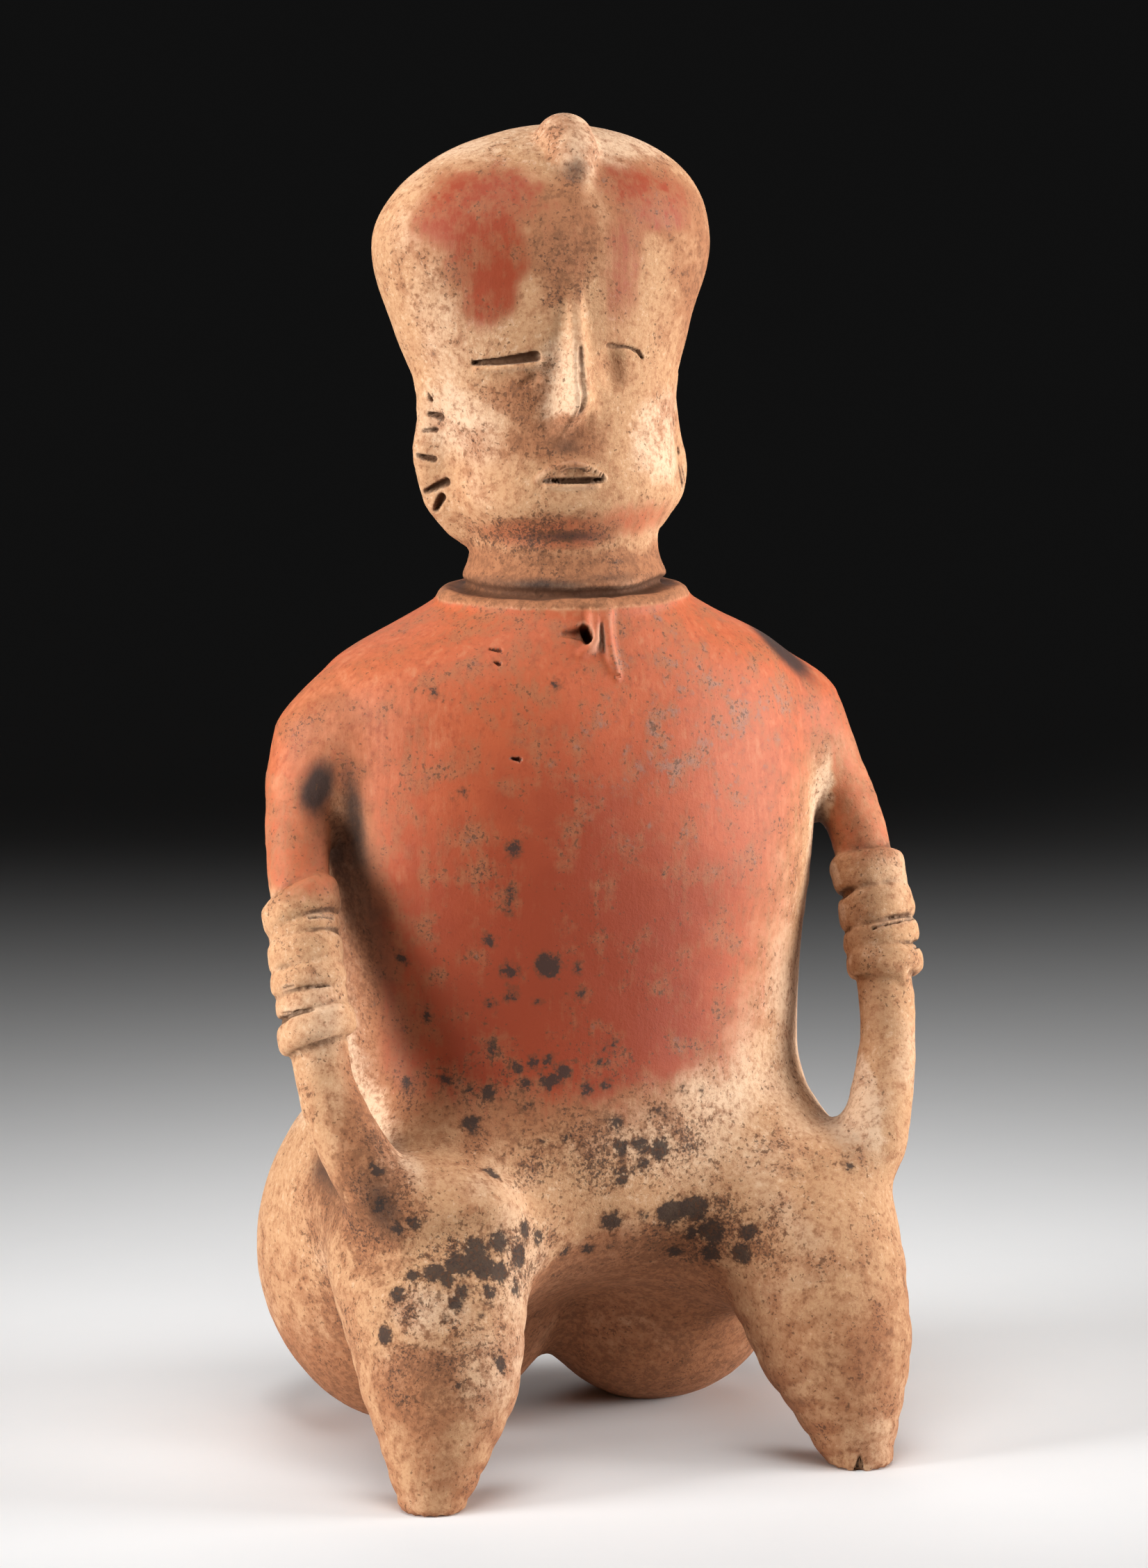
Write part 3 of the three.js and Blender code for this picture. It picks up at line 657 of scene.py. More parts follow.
        lap = ((-104, -62, 82), (-90, -78, 87.5), (-68, -86, 94.5), (-50, -82, 97))
        press(lap, (3, 6, 6, 3), 8, (-4.6,))
        press([(66, -77, 109), (60, -75, 100)], (5, 4), 6, (-4,))
        press([(74, -101, 0), (75, -100, 6)], (1.8, 0.6), 1, (0,))
        return marks

    def round_arm(self, side, height, turn, reach):
        """A point beside an arm, turned forwards from its outer side"""
        i = (side + 1) // 2
        _, middle, along, front, out, _ = min(self.coils[i], key=lambda place: abs(place[0][0] - height))
        centre = middle + along * (height - middle[2])
        return centre + (out * math.cos(turn) + front * math.sin(turn)) * reach

    def worked(self, p):
        """The figure as kneaded and scraped, before anything is pressed into it"""
        value = self.laid(p)
        near = np.abs(value) < KNEADED
        value[near] += self.kneading(p[near])
        return np.maximum(value, -p[:, 2])

    def field(self, p):
        value = self.worked(p)
        for stops, softness, low, high in self.marks:
            near = within(p, low, high)
            value[near] = meet(value[near], -chain(p[near], stops), softness)
        return value

    def pressed(self, p):
        """Sinks the skin's points straight into the clay, down to the bottoms of the marks"""
        near = np.zeros(len(p), bool)
        for _, _, low, high in self.marks:
            near |= within(p, low, high)
        sunk = p[near]
        inwards = -self.out_of(self.worked, sunk)
        rounds, most, pace = 14, 2, 0.9
        for _ in range(rounds):
            sunk = sunk + inwards * np.clip(self.field(sunk), 0, most)[:, None] * pace
        p = p.copy()
        p[near] = sunk
        return p

    def kneading(self, p):
        """How far fingers and scraping left the skin in or out"""
        fine = 0.22 * noise(p, 5, 3) + 0.12 * noise(p, 2.6, 4)
        return 0.4 * noise(p, 27, 1) + 0.16 * noise(p, 10, 2) + self.roughness(p) * fine

    def roughness(self, p):
        """1 on the unburnished bands, forearms and ears, less on the lower body, and least on the slip"""
        x, _, z = p.T
        arm = (np.abs(x) > 88) & (z > 110) & (z < 214)
        ears = (z > 330) & (z < 385) & (np.abs(x + HEAD_SHIFT / 2) > 44)
        return np.where(arm | ears, 1.0, np.where(z < 125, 0.45, 0.15))

    def out_of(self, field, p):
        """The way out of the clay at each point"""
        slope = rises(field, p, field(p), 0.1)
        return slope / np.maximum(span(slope), 1e-9)[:, None]

    def settled(self, field, p, rounds=3):
        """Moves points onto the surface, by a few millimetres at most in each round"""
        step, most = 0.05, 3
        for _ in range(rounds):
            value = field(p)
            slope = rises(field, p, value, step) / step
            size = np.maximum(np.einsum("ij,ij->i", slope, slope), 0.05)
            p = p + slope * np.clip(-value / size, -most, most)[:, None]
        return p


def rises(field, p, value, step):
    """How much a field rises over a step along each axis"""
    return np.column_stack([field(p + axis) - value for axis in np.eye(3) * step])


def within(p, low, high):
    return np.all((p > low) & (p < high), axis=1)


# Meshing


def by_blocks(field, p, block=200000):
    return np.concatenate([field(p[i:i + block]) for i in range(0, len(p), block)])


def tidy_signs(values):
    """Joins signs that meet only corner to corner, so that no edge of the skin has four faces"""
    changed = True
    while changed:
        changed = False
        for axis in range(3):
            u, v = (np.eye(3, dtype=int)[other] for other in range(3) if other != axis)
            size = np.array(values.shape) - u - v
            views = [
                values[tuple(slice(start, start + n) for start, n in zip(corner, size))]
                for corner in (0 * u, u, u + v, v)
            ]
            a, b, c, d = (view < 0 for view in views)
            crossed = (a == c) & (b == d) & (a != b)
            if crossed.any():
                changed = True
                first = np.where(views[0] < views[2], 0, 2)
                second = np.where(views[1] < views[3], 1, 3)
                chosen = np.where(a, second, first)
                for k, view in enumerate(views):
                    view[crossed & (chosen == k)] = -0.01


def net_of(field, low, high, step):
    """A closed net of triangles near the field's surface, one point in each lattice cell that it crosses"""
    block = 4
    counts = [math.ceil((b - a) / step / block) * block for a, b in zip(low, high)]
    lines = [a + np.arange(n) * step for a, n in zip(low, counts)]
    lattice = np.stack(np.meshgrid(*lines, indexing="ij"), axis=-1)
    coarse = lattice[block // 2::block, block // 2::block, block // 2::block]
    values = by_blocks(field, coarse.reshape(-1, 3)).reshape(coarse.shape[:3])
    for axis in range(3):
        values = values.repeat(block, axis)
    near = np.abs(values) < 3 * block * step
    values[near] = by_blocks(field, lattice[near])
    tidy_signs(values)
    cells = tuple(n - 1 for n in values.shape)
    total, count = np.zeros((*cells, 3)), np.zeros(cells)
    corners = [tuple(slice(c, c + n) for c, n in zip(corner, cells)) for corner in np.ndindex(2, 2, 2)]
    for a in range(8):
        for b in (a | bit for bit in (1, 2, 4) if not a & bit):
            va, vb = values[corners[a]], values[corners[b]]
            crossed = (va < 0) != (vb < 0)
            share = (va[crossed] / (va[crossed] - vb[crossed]))[:, None]
            pa, pb = lattice[corners[a]][crossed], lattice[corners[b]][crossed]
            total[crossed] += pa + (pb - pa) * share
            count[crossed] += 1
    used = count > 0
    names = np.full(cells, -1)
    names[used] = np.arange(used.sum())
    points = total[used] / count[used][:, None]
    faces = []
    for axis in range(3):
        u, v = (np.eye(3, dtype=int)[(axis + k) % 3] for k in (1, 2))
        starts = np.argwhere((values < 0) != (np.roll(values, -1, axis) < 0))
        starts = starts[np.all((starts - u - v >= 0) & (starts < np.array(cells)), axis=1)]
        ring = np.stack([names[tuple((starts - back).T)] for back in (u + v, v, 0 * u, u)], axis=1)
        outward = values[tuple(starts.T)] < 0
        ring[~outward] = ring[~outward][:, ::-1]
        a, b, c, d = ring.T
        straight = span(points[a] - points[c]) < span(points[b] - points[d])
        faces.append(np.where(straight[:, None], ring[:, [0, 1, 2]], ring[:, [0, 1, 3]]))
        faces.append(np.where(straight[:, None], ring[:, [0, 2, 3]], ring[:, [1, 2, 3]]))
    return points, np.vstack(faces)


def split_long(points, faces, longest):
    """Splits each edge that is longer than wanted at its middle"""
    edges = np.stack([faces, np.roll(faces, -1, axis=1)], axis=-1)
    edges.sort(axis=-1)
    keys, at = np.unique(edges[..., 0] * len(points) + edges[..., 1], return_inverse=True)
    a, b = keys // len(points), keys % len(points)
    middles = (points[a] + points[b]) / 2
    split = span(points[a] - points[b]) > longest(middles)
    names = np.where(split, len(points) + np.cumsum(split) - 1, -1)[at.reshape(faces.shape)]
    points = np.vstack([points, middles[split]])
    counts = (names >= 0).sum(axis=1)
    turn = np.where(counts == 1, np.argmax(names >= 0, axis=1), (np.argmax(names < 0, axis=1) + 1) % 3)
    order = (turn[:, None] + np.arange(3)) % 3
    rows = np.arange(len(faces))[:, None]
    p, q, r = faces[rows, order].T
    pq, qr, rp = names[rows, order].T
    patterns = {
        0: ((p, q, r),),
        1: ((p, pq, r), (pq, q, r)),
        2: ((pq, q, qr), (p, pq, qr), (p, qr, r)),
        3: ((p, pq, rp), (pq, q, qr), (rp, qr, r), (pq, qr, rp)),
    }
    finer = [np.column_stack(t)[counts == n] for n, pattern in patterns.items() for t in pattern]
    return points, np.vstack(finer)


def evened(points, faces):
    """Moves each point halfway to the middle of its neighbours"""
    edges = np.vstack([faces[:, [0, 1]], faces[:, [1, 2]], faces[:, [2, 0]]])
    count = np.bincount(edges[:, 0], minlength=len(points))
    sums = [np.bincount(edges[:, 0], points[edges[:, 1], axis], len(points)) for axis in range(3)]
    return (points + np.column_stack(sums) / count[:, None]) / 2


def skin_of(figure):
    """The figure's skin, finer round its details"""
    s = figure.s
    wide = s.spread + 2 * s.shoulder
    low, high = (-wide, -ROOM_DEEP - ROOM_FRONT, -ROOM_ENDS), (wide, ROOM_DEEP, KNOB_TOP + ROOM_ENDS)
    points, faces = net_of(figure.worked, low, high, NET_STEP)
    for _ in range(2):
        points = settled_by_blocks(figure, evened(points, faces), 1)

    def longest(p):
        wanted = np.full(len(p), PLAIN_EDGE)
        for low, high in FINE_PLACES:
            wanted[within(p, low, high)] = DETAIL_EDGE
        for stops, softness, low, high in figure.marks:
            near = within(p, low, high)
            close = chain(p[near], stops) < BESIDE_MARK + softness
            wanted[np.flatnonzero(near)[close]] = CUT_EDGE
        return wanted

    for rounds in (1, 1, 2):
        points, faces = split_long(points, faces, longest)
        points = settled_by_blocks(figure, evened(points, faces), rounds)
    points = by_blocks(figure.pressed, points, BLOCK)
    points[:, 2] = np.maximum(points[:, 2], 0)
    return points, faces


def settled_by_blocks(figure, points, rounds):
    return by_blocks(lambda p: figure.settled(figure.worked, p, rounds), points, BLOCK)


# Painted and fired marks


def soft_step(value, edge, width):
    """0 well below the edge and 1 well above it"""
    t = np.clip((value - edge) / width + 0.5, 0, 1)
    return t * t * (3 - 2 * t)


def patches(p, name):
    """The strongest of some patches at each point: upright ovals with ragged edges, on the front only"""
    x, y, z = p.T
    large, small = 0.12 * noise(p, 9, 41), 0.08 * noise(p, 4, 42)
    front = soft_step(-y, -4, 24)
    strongest = np.zeros(len(p))
    for share, middle, height, wide, tall, softness, tilt in PATCHES[name]:
        turn = math.radians(tilt)
        u = (x - middle) * math.cos(turn) + (z - height) * math.sin(turn)
        v = (z - height) * math.cos(turn) - (x - middle) * math.sin(turn)
        ragged = np.hypot(u / wide, v / tall) + large + small
        covered = soft_step(-ragged, -1, 2 * softness / min(wide, tall)) * front
        strongest = np.maximum(strongest, covered * share)
    return strongest


# Mineral spots: x, height and radius
SPOTS = (
    (-40, 226, 2.6), (-41, 210, 1.9), (-42, 205, 1.6), (-48, 193, 2.4), (-41, 182, 3), (-28, 184, 4.6),
    (-18, 182, 2), (-41, 173, 2), (-47, 170, 1.6), (-32, 171, 1.6), (-17, 173, 1.5), (-74, 185, 2.2),
    (-67, 165, 1.8), (-57, 245, 1.8), (-64, 281, 1.8), (-23, 283, 1.5), (-47, 154, 2.4), (-73, 140, 2.6),
    (-62, 142, 2.2), (-56, 128, 3.2), (-53, 113, 3), (-49, 138, 3), (-54, 139, 2), (-36, 141, 2),
    (-36, 134, 1.8), (-28, 142, 3.4), (-23, 145, 2.6), (-15, 139, 2.6), (-8, 140, 2.2), (-39, 147, 2.6),
    (-33, 149, 2.4), (-28, 150, 2.2), (-6, 154, 2.4), (-10, 149, 1.6), (-38, 119, 1.6), (-31, 122, 1.8),
    (-23, 122, 1.6), (-4, 118, 3.4), (4, 118, 3), (12, 116, 4.4), (5, 111, 2.4), (-3, 107, 3),
    (-5, 126, 3), (13, 129, 2.2), (9, 128, 1.8), (-7, 91, 4), (16, 92, 5.5), (25, 93, 5), (31, 84, 5),
    (24, 84, 3), (42, 85, 3.6), (40, 77, 4.2), (20, 76, 3.4), (32, 75, 4), (6, 92, 2.4), (-15, 81, 2.6),
    (-24, 81, 2.2), (-94, 77, 3), (-89, 83, 3), (-82, 85, 4.4), (-78, 82, 3.4), (-73, 87, 5.4),
    (-73, 78, 2.6), (-76, 74, 3), (-66, 91, 5.6), (-64, 85, 5), (-56, 93, 4.4), (-58, 82, 4.4),
    (-63, 76, 3), (-51, 75, 3.4), (-48, 85, 5), (-44, 94, 3.6), (-37, 89, 3), (-97, 118, 3),
    (-96, 106, 3.4), (-91, 98, 2.6), (-86, 100, 2.8), (-99, 63, 3.4), (-61, 52, 3.4), (-79, 47, 2.2),
    (-67, 69, 1.6), (-80, 69, 1.4), (81, 106, 2.2), (61, 105, 1.8), (22, 136, 1.6), (30, 134, 1.5),
)

# Patches on the front: strength, x, height, half width, half height, softness of the edge, tilt in degrees
PATCHES = {
    "thick": (
        (1, -20, 176, 52, 76, 44, 0),
    ),
    "pale": (
        (0.8, 45, 146, 40, 26, 20, 0), (0.4, 62, 180, 26, 50, 24, 0), (0.5, 10, 118, 50, 18, 14, 0),
        (0.35, -92, 264, 28, 26, 16, 0), (1, -47, 372, 14, 14, 8, 0), (1, 30, 366, 16, 16, 8, 0),
        (1, -13, 385, 8, 18, 5, 0), (0.6, -50, 405, 16, 40, 14, 0), (0.4, -30, 50, 60, 40, 20, 0),
        (0.7, -84, 72, 14, 8, 6, 0),
    ),
    "face_slip": (
        (0.8, -38, 447, 22, 13, 5, 26), (0.85, -36, 432, 14, 16, 5, 0), (0.72, -35, 420, 9, 14, 4, -14),
        (0.72, 26, 450, 20, 11, 5, -18), (0.5, 12, 430, 8, 26, 5, -4), (0.2, -11, 440, 14, 18, 6, 0),
        (1, -14, 333, 17, 5, 4, 0), (0.55, 16, 337, 20, 6, 5, 0),
    ),
    # Smoke: fire clouds on the right upper arm and by the left shoulder; the second to fourth rows are the
    # painted shadow of the right arm down its flank, with some fire cloud; the rest are a dark patch below
    # the knob, thin dark lines under the chin, under the nose and above the collar, and dark marks by the
    # wrists
    "smoke": (
        (1, -101, 246, 5.5, 10, 4, -18), (0.8, -88, 232, 3, 22, 3, 8), (0.45, -83, 202, 5, 40, 6, 12),
        (0.35, -94, 195, 8, 50, 9, 8), (1, 80, 284, 13, 4.5, 3.5, -40), (0.5, -5, 460, 6, 5, 4, 0),
        (0.7, -10, 332, 13, 2.2, 2, 0), (0.75, -20, 315, 14, 2.2, 2, 0), (0.5, -11, 364, 5, 2.5, 3, 0),
        (0.5, 4, 317, 12, 1.5, 2, 0), (0.6, -96, 106, 5, 12, 5, 20), (0.3, 83, 112, 7, 10, 6, 0),
    ),
    # Tan: the row at x -86 is also painted shade on the flank beside the right arm
    "tan": (
        (0.8, -12, 438, 14, 20, 6, 0), (0.3, -38, 440, 26, 26, 8, 0), (0.5, 26, 448, 24, 16, 8, 0),
        (0.8, 50, 420, 14, 34, 12, 0), (1, -86, 200, 10, 60, 10, 10), (0.3, -96, 270, 12, 16, 10, 0),
        (0.4, 40, 372, 14, 18, 12, 0), (0.25, -2, 470, 12, 12, 8, 0), (0.6, -26, 382, 10, 9, 8, 0),
        (0.9, -14, 367, 16, 8, 7, 0), (0.4, -34, 362, 16, 14, 12, 0), (0.3, -52, 418, 12, 18, 12, 0),
        (0.4, 11, 390, 5, 8, 5, 0), (0.6, -30, 128, 46, 12, 10, 0), (0.4, 12, 80, 48, 14, 10, 0),
        (0.9, -98, 118, 12, 34, 8, 0), (0.8, -90, 44, 13, 18, 6, 0), (0.6, 78, 40, 14, 18, 6, 0),
        (0.6, -14, 333, 20, 7, 5, 0),
    ),
    "freckle": (
        (0.5, -30, 143, 46, 14, 8, 0), (1, -2, 116, 46, 16, 10, 0), (1, -64, 84, 40, 16, 8, 0),
        (1, 28, 84, 30, 16, 8, 0), (1, -96, 108, 12, 24, 8, 0), (0.8, -82, 60, 24, 22, 10, 0),
        (0.3, 18, 268, 34, 20, 12, 0), (0.7, -8, 426, 12, 12, 8, 0), (0.35, -54, 418, 10, 16, 10, 0),
        (1, -16, 332, 24, 9, 5, 0), (0.3, -28, 372, 24, 20, 14, 0),
    ),
    "bloom": (
        (1, 30, 262, 45, 34, 20, 0), (0.4, 14, 428, 10, 22, 8, 0),
    ),
}

# The slip's lower hem on the middle, how it rises to the left, and how far to the sides the arms begin
HEM, HEM_RISE = 137, 0.14
ARM_SIDE = 96

# How far in mm a mineral spot's stain reaches, and the probes that feel for hollows and ridges
STAIN_REACH = 8.0
PROBES = (1.5, 4)


def painted(figure, points, out):
    """How much of each colour, wear, painted shade and painted highlight every point of the skin takes"""
    x, _, z = points.T
    ragged = 6 * noise(points, 24, 51) + 4 * noise(points, 9, 52) + 2.5 * noise(points, 4, 53)
    hem = HEM + HEM_RISE * np.maximum(x, -20) + 10 * soft_step(np.abs(x), 78, 16) + ragged
    body = soft_step(z, hem, 32) * (1 - 0.7 * soft_step(z, COLLAR - 1, 3)) * (z < COLLAR + 5)
    round_body = np.abs(x) / rows_at(TRUNK_ROWS, z)[:, 0]
    flank = soft_step(round_body, 0.9, 0.16) * soft_step(-z, -244, 26) * (np.abs(x) < ARM_SIDE)
    flank *= soft_step(z, 112, 24)
    left_fade = soft_step(x + 0.4 * ragged, 44 + 0.35 * np.maximum(z - 150, 0), 60) * soft_step(-z, -256, 70)
    arm = (np.abs(x) > ARM_SIDE) & (z < 250)
    arm_slip = soft_step(z, 210 + 0.4 * ragged, 12) * np.where(x > 0, 0.5, 0.62)
    slip = np.where(arm, arm_slip, body * (1 - 0.92 * flank) * (1 - 0.8 * left_fade))
    slip = np.where(z > JAW - 20, patches(points, "face_slip"), slip)
    thick = patches(points, "thick") + 0.8 * (z > JAW)
    pale = np.maximum.reduce([patches(points, "pale"), soft_step(z, 462, 14) * 0.6, flank])
    smoke = patches(points, "smoke")
    tan = np.maximum.reduce([
        patches(points, "tan"),
        soft_step(-z, -326, 10) * (z > COLLAR),
        soft_step(-z, -70, 70) * 0.35,
        # Tan on surfaces that face down in the lower body: painted shade on the undersides
        soft_step(out[:, 2] * -1, 0.35, 0.5) * soft_step(-z, -120, 40),
    ])
    freckle = np.maximum(patches(points, "freckle"), 0.1 * (z < JAW))
    bloom = patches(points, "bloom")

    stain = np.full(len(points), STAIN_REACH)
    spots = np.array(SPOTS)
    for middle, radius in zip(figure.on_fronts(spots[:, 0], spots[:, 1]), spots[:, 2]):
        near = within(points, middle - radius - STAIN_REACH, middle + radius + STAIN_REACH)
        stain[near] = np.minimum(stain[near], span(points[near] - middle) - radius)

    # Hollow measures how deep each point lies in a crease or cut, for the painted shade and earth there;
    # ridge how far it stands out on an edge, for wear and a painted highlight
    hollow = np.zeros(len(points))
    ridge = np.zeros(len(points))
    for reach in PROBES:
        open_side = by_blocks(figure.field, points + out * reach, BLOCK)
        clay_side = by_blocks(figure.field, points - out * reach, BLOCK)
        hollow = np.maximum(hollow, np.clip(1 - open_side / reach, 0, 1))
        ridge = np.maximum(ridge, np.clip(1 + clay_side / reach, 0, 1))
    return dict(zip(PAINTED, (slip, thick, smoke, tan, pale, stain, freckle, bloom, hollow, ridge)))


# Material


def add(tree, kind, give, **given):
    """Adds a shader node and gives one of its outputs: small names are settings, capital ones inputs"""
    made = tree.nodes.new("ShaderNode" + kind)
    for name, value in given.items():
        if name[0].islower():
            setattr(made, name, value)
            continue
        socket = next(s for s in made.inputs if name in (s.identifier, s.name.replace(" ", "_")))
        if isinstance(value, bpy.types.NodeSocket):
            tree.links.new(value, socket)
        else:
            socket.default_value = value
    return next((s for s in made.outputs if give in (s.identifier, s.name)), None)


def blank(name):
    """A new material and its empty node tree"""
    material = bpy.data.materials.new(name)
    material.use_nodes = True
    material.node_tree.nodes.clear()
    return material, material.node_tree


# Grains of the fired surface: across in mm, drawn out upwards, detail and roughness
GRAINS = {
    "cloud": (38, 1, 2, 0.5),
    "blotch": (13, 1, 4, 0.6),
    "mottle": (5, 1, 6, 0.7),
    "fleck": (2, 1, 5, 0.72),
    "speck": (1.5, 1, 2, 0.5),
    "grit": (0.8, 1, 3, 0.6),
    "stroke": (2.4, 9, 4, 0.6),
}


def burnished_earthenware(colours):
    """Low-fired buff clay, hand-built, painted with iron slip and burnished with a pebble.

    It gives the eye a soft satin on the slip with strokes running down it, and dry, mottled clay elsewhere.
    """
    material, tree = blank("burnished_earthenware")
    place = add(tree, "TexCoord", "Object")
    given = {name: add(tree, "Attribute", "Fac", attribute_name=name) for name in PAINTED}
    for name, (across, drawn, detail, rough) in GRAINS.items():
        at = add(tree, "Mapping", "Vector", Vector=place, Scale=(1, 1, 1 / drawn))
        given[name] = add(
            tree, "TexNoise", "Fac", Vector=at, Scale=1 / (across * MM), Detail=detail, Roughness=rough)

    def level(sources):
        """The weighted sum of some grains and painted shares"""
        total = 0
        for name, weight in sources.items():
            total = add(tree, "Math", "Value", operation="MULTIPLY_ADD", Value=given[name], Value_001=weight,
                        Value_002=total)
        return total

    def coated(under, coats):
        """A colour under coats, each with its sources, where it starts and is full, and how much it hides"""
        for over, sources, start, full, most in coats:
            share = add(tree, "MapRange", "Result", interpolation_type="SMOOTHSTEP", Value=level(sources),
                        From_Min=start, From_Max=full, To_Max=most)
            under = add(tree, "Mix", "Result_Color", data_type="RGBA", Factor_Float=share, A_Color=under,
                        B_Color=over)
        return under

    tint = {name: (*getattr(colours, name), 1) for name in FigureColours.__annotations__}

    # Bare clay: pale clouds, then iron mottling from a thumb's width down to a grain
    clay = coated(tint["buff"], (
        (tint["cream"], {"cloud": 1, "pale": 0.4}, 0.48, 0.9, 0.8),
        (tint["tan"], {"blotch": 1, "tan": 0.4, "slip": 0.35}, 0.5, 0.85, 0.8),
        (tint["tan"], {"mottle": 1, "tan": 0.2, "pale": -0.06}, 0.5, 0.66, 0.6),
        (tint["tan"], {"fleck": 1, "tan": 0.05}, 0.48, 0.62, 0.4),
        (tint["umber"], {"mottle": 0.5, "fleck": 0.6, "tan": 0.12, "freckle": 0.06}, 0.6, 0.76, 0.5),
        (tint["cream"], {"fleck": -1, "mottle": -0.6, "pale": 0.1, "tan": -0.2}, -0.72, -0.6, 0.5),
        (tint["ash"], {"blotch": 0.5, "mottle": 0.5, "fleck": 0.3, "bloom": 0.08}, 0.76, 0.9, 0.4),
    ))

    # Slip: deeper where it pooled, thin along the burnishing strokes
    slip = coated(tint["slip"], (
        (tint["deep_slip"], {"cloud": 0.5, "thick": 0.6}, 0.25, 0.8, 0.95),
        (tint["tan"], {"stroke": 0.4, "blotch": 0.8, "mottle": 0.4, "thick": -0.1, "tan": 0.2},
         0.7, 0.94, 0.7),
        (tint["deep_slip"], {"mottle": 0.45, "fleck": 0.45, "stroke": 0.2}, 0.54, 0.68, 0.5),
        (tint["buff"], {"stroke": -0.4, "blotch": -0.6, "mottle": -0.3, "thick": -0.3, "pale": 0.2},
         -0.66, -0.35, 0.5),
        (tint["umber"], {"fleck": 0.7, "blotch": 0.4, "thick": 0.05}, 0.64, 0.76, 0.35),
        (tint["ash"], {"blotch": 0.5, "mottle": 0.6, "fleck": 0.4, "bloom": 0.1}, 0.86, 0.98, 0.3),
    ))
    worn = level({"slip": 1, "stroke": -0.5, "mottle": -0.6, "fleck": -0.45, "ridge": -0.3})
    cover = add(tree, "MapRange", "Result", interpolation_type="SMOOTHSTEP", Value=worn, From_Min=-0.7,
                From_Max=0.05)
    body = add(tree, "Mix", "Result_Color", data_type="RGBA", Factor_Float=cover, A_Color=clay, B_Color=slip)

    # Fire clouds and the painted shadow of the right arm, mineral spots and specks with ragged edges,
    # painted shade with earth in the hollows, and edges paler from rubbing and a painted highlight
    surface = coated(body, (
        # Fire clouds, and the painted shadow of the right arm on its flank
        (tint["smoke"], {"smoke": 1, "mottle": -0.6}, -0.25, 0.6, 0.93),
        (tint["umber"], {"stain": -0.7, "speck": 3, "fleck": 3, "mottle": 7}, 5.2, 7.2, 0.6),
        (tint["mineral"], {"stain": -0.9, "speck": 3, "fleck": 3, "mottle": 6}, 5.9, 6.9, 0.8),
        (tint["umber"], {"speck": 1, "blotch": 0.5, "freckle": 0.12}, 0.9, 0.98, 0.7),
        (tint["mineral"], {"grit": 1, "blotch": 0.6, "freckle": 0.12}, 0.98, 1.06, 0.65),
        # Painted shade in creases and cuts, with earth
        (tint["dirt"], {"hollow": 1, "fleck": 0.3}, 0.35, 1, 0.8),
        # Paler edges: rubbed wear and a painted highlight
        (tint["cream"], {"ridge": 1, "fleck": -0.4}, 0.2, 0.8, 0.25),
    ))

    relief = level({"grit": 0.14, "fleck": 0.28, "mottle": 0.4, "stroke": 0.1})
    depth = add(tree, "MapRange", "Result", Value=cover, To_Min=1.0, To_Max=0.5)
    normal = add(tree, "Bump", "Normal", Strength=depth, Distance=MM, Height=relief)
    gloss = add(tree, "MapRange", "Result", Value=cover, To_Min=0.85, To_Max=0.62)
    shader = add(tree, "BsdfPrincipled", "BSDF", Base_Color=surface, Roughness=gloss, Normal=normal,
                 Specular_IOR_Level=0.3)
    add(tree, "OutputMaterial", "", Surface=shader)
    return material


def matt_paper(tint):
    """Seamless background paper: matt, with no sheen to draw the eye"""
    material, tree = blank("matt_paper")
    place = add(tree, "TexCoord", "Object")
    fibre = add(tree, "TexNoise", "Fac", Vector=place, Scale=1 / (40 * MM), Detail=3)
    shade = add(tree, "MapRange", "Result", Value=fibre, To_Min=0.0, To_Max=0.06)
    paper = add(tree, "Mix", "Result_Color", data_type="RGBA", Factor_Float=shade, A_Color=(*tint, 1),
                B_Color=(0.6, 0.6, 0.6, 1))
    shader = add(tree, "BsdfPrincipled", "BSDF", Base_Color=paper, Roughness=0.9)
    add(tree, "OutputMaterial", "", Surface=shader)
    return material


# Operators


def in_room(points):
    """Drawn millimetres to metres in the room"""
    low, high = CAD_BOX
    middle = (low + high) / 2
    return (np.asarray(points, float) - (*DRAWN_MIDDLE, 0)) * MM + (middle.x, middle.y, low.z)


class FIGURE_OT_body(bpy.types.Operator):
    """Makes the clay figure, with its coils, cuts, slip and stains"""

    bl_idname = "figure.body"
    bl_label = "Make the figure"

    def execute(self, context):
        sizes = context.scene.figure_sizes
        in_mm = {name: getattr(sizes, name) / MM for name in FigureSizes.__annotations__}
        figure = Figure(SimpleNamespace(**in_mm))
        points, faces = skin_of(figure)
        out = by_blocks(lambda p: figure.out_of(figure.field, p), points, BLOCK)
        mesh = bpy.data.meshes.new("clay_figure")
        mesh.from_pydata(in_room(points), (), faces, shade_flat=False)
        for name, share in painted(figure, points, out).items():
            mesh.attributes.new(name, "FLOAT", "POINT").data.foreach_set("value", share.astype(np.float32))
        mesh.materials.append(burnished_earthenware(context.scene.figure_colours))
        piece = bpy.data.objects.new("clay_figure", mesh)
        context.scene.collection.objects.link(piece)
        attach(piece, "root")
        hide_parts("figure")
        return {"FINISHED"}


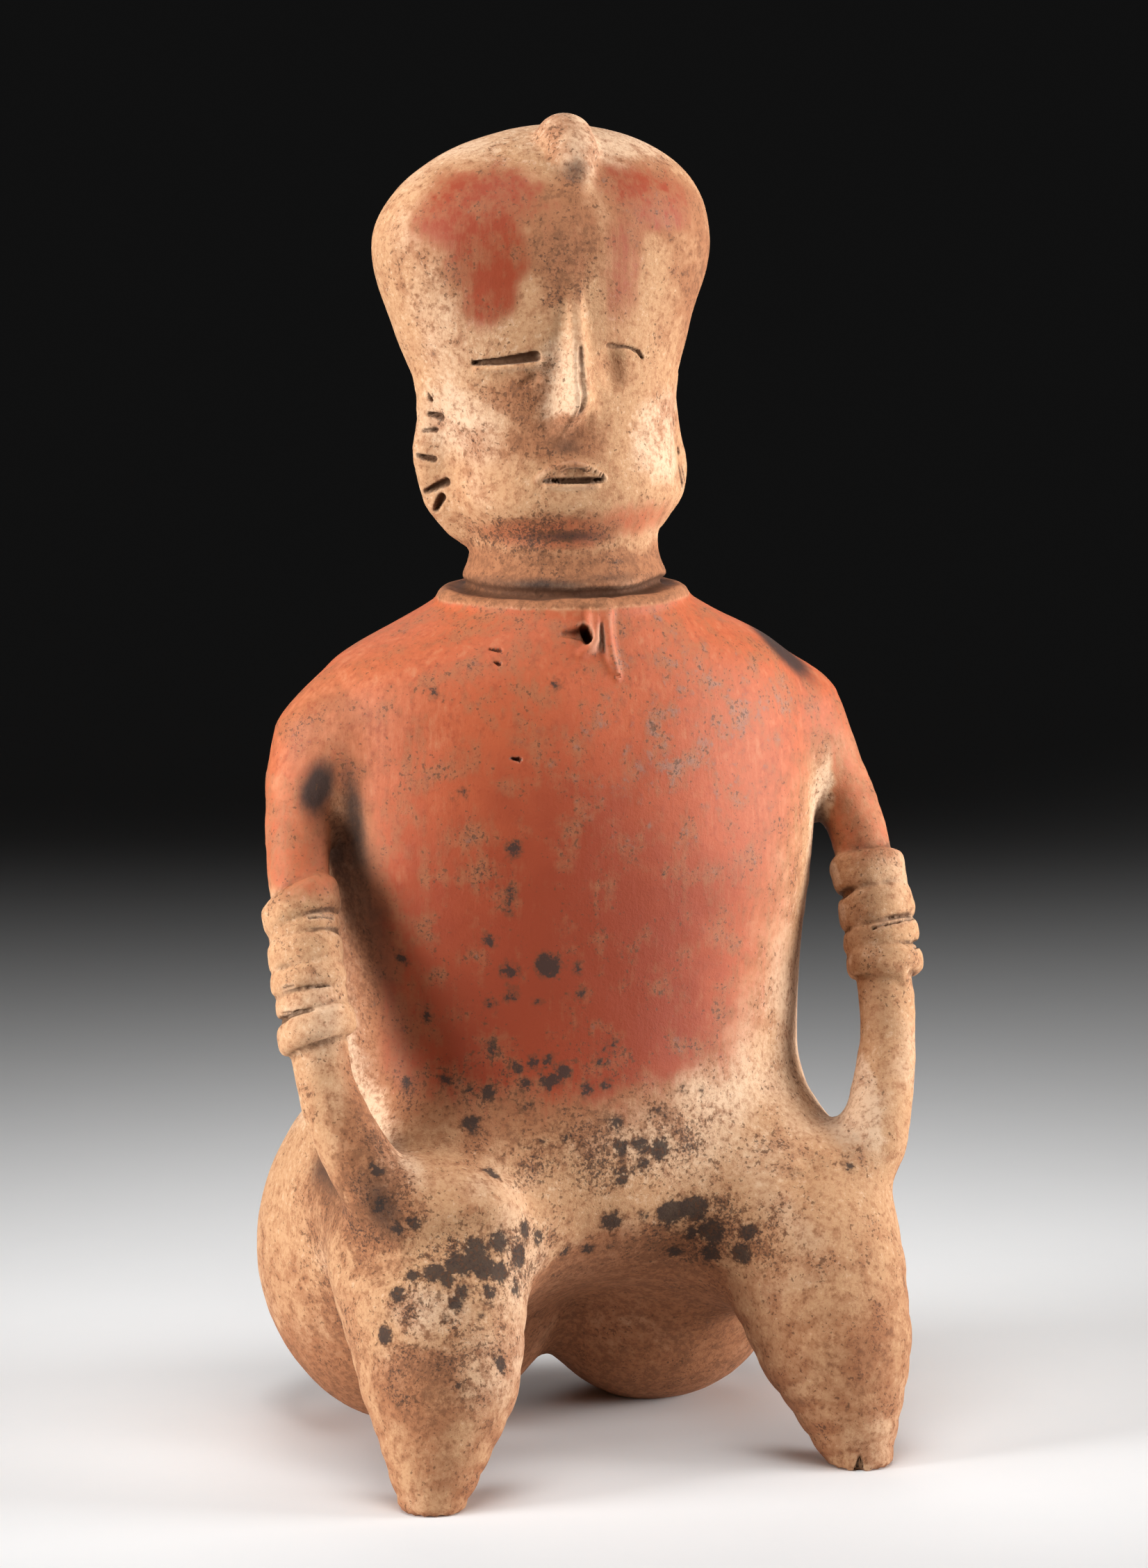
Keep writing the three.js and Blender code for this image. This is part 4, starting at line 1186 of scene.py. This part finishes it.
class FIGURE_OT_stage(bpy.types.Operator):
    """Sets a pale floor, soft lights and the camera"""

    bl_idname = "figure.stage"
    bl_label = "Set the stage"

    def execute(self, context):
        scene, studio = context.scene, context.scene.figure_studio
        mesh = bpy.data.meshes.new("floor")
        turns = ((-1, -1), (1, -1), (1, 1), (-1, 1))
        corners = [(x * FLOOR_REACH, y * FLOOR_REACH, CAD_BOX[0].z) for x, y in turns]
        mesh.from_pydata(corners, (), [(0, 1, 2, 3)])
        mesh.materials.append(matt_paper(studio.floor))
        floor = bpy.data.objects.new("floor", mesh)
        scene.collection.objects.link(floor)

        aim = Vector(in_room([LOOK_AT])[0])
        turn, rise = math.degrees(studio.turn), math.degrees(studio.rise)
        for name, bearing, lift, distance, wide, tall in LIGHTS:
            lamp = bpy.data.lights.new(name, "AREA")
            lamp.shape = "RECTANGLE"
            lamp.size, lamp.size_y = wide, tall
            lamp.energy = getattr(studio, name)
            lamp.spread = studio.spread
            self.stand(scene, bpy.data.objects.new(name, lamp), aim, bearing - turn, lift, distance)

        camera = bpy.data.cameras.new("camera")
        camera.lens = studio.lens
        camera.sensor_fit = "AUTO"
        camera.clip_end = 100
        scene.camera = bpy.data.objects.new("camera", camera)
        self.stand(scene, scene.camera, aim, -turn, rise, studio.distance)

        scene.world = bpy.data.worlds.new("room")
        scene.world.use_nodes = True
        tree = scene.world.node_tree
        tree.nodes.clear()
        glow = add(tree, "Background", "Background", Color=(1, 1, 1, 1), Strength=studio.fill)
        add(tree, "OutputWorld", "", Surface=glow)
        scene.view_settings.view_transform = "Standard"
        return {"FINISHED"}

    def stand(self, scene, thing, aim, bearing, rise, distance):
        """Stands a light or the camera off from the aim, turned to the front's right, and points it there"""
        turn, lift = math.radians(bearing), math.radians(rise)
        away = Vector((math.sin(turn) * math.cos(lift), -math.cos(turn) * math.cos(lift), math.sin(lift)))
        thing.location = aim + away * distance
        thing.rotation_euler = away.to_track_quat("Z", "Y").to_euler()
        scene.collection.objects.link(thing)


class FIGURE_PT_panel(bpy.types.Panel):
    """Lists the steps that make the figure and its stage"""

    bl_label = "Nayarit Figure"
    bl_space_type = "VIEW_3D"
    bl_region_type = "UI"
    bl_category = "Figure"

    def draw(self, context):
        scene = context.scene
        for group in (scene.figure_sizes, scene.figure_colours, scene.figure_studio):
            box = self.layout.box()
            for name in type(group).__annotations__:
                box.prop(group, name)
        for step in STEPS:
            self.layout.operator(step.bl_idname)


GROUPS = {"figure_sizes": FigureSizes, "figure_colours": FigureColours, "figure_studio": FigureStudio}
STEPS = (FIGURE_OT_stage, FIGURE_OT_body)


def register():
    for kind in (*GROUPS.values(), *STEPS, FIGURE_PT_panel):
        bpy.utils.register_class(kind)
    for name, group in GROUPS.items():
        setattr(bpy.types.Scene, name, PointerProperty(type=group))


def unregister():
    for name in GROUPS:
        delattr(bpy.types.Scene, name)
    for kind in (FIGURE_PT_panel, *STEPS, *GROUPS.values()):
        bpy.utils.unregister_class(kind)


def main():
    register()
    bpy.ops.figure.stage()
    bpy.ops.figure.body()


if __name__ == "__main__":
    main()
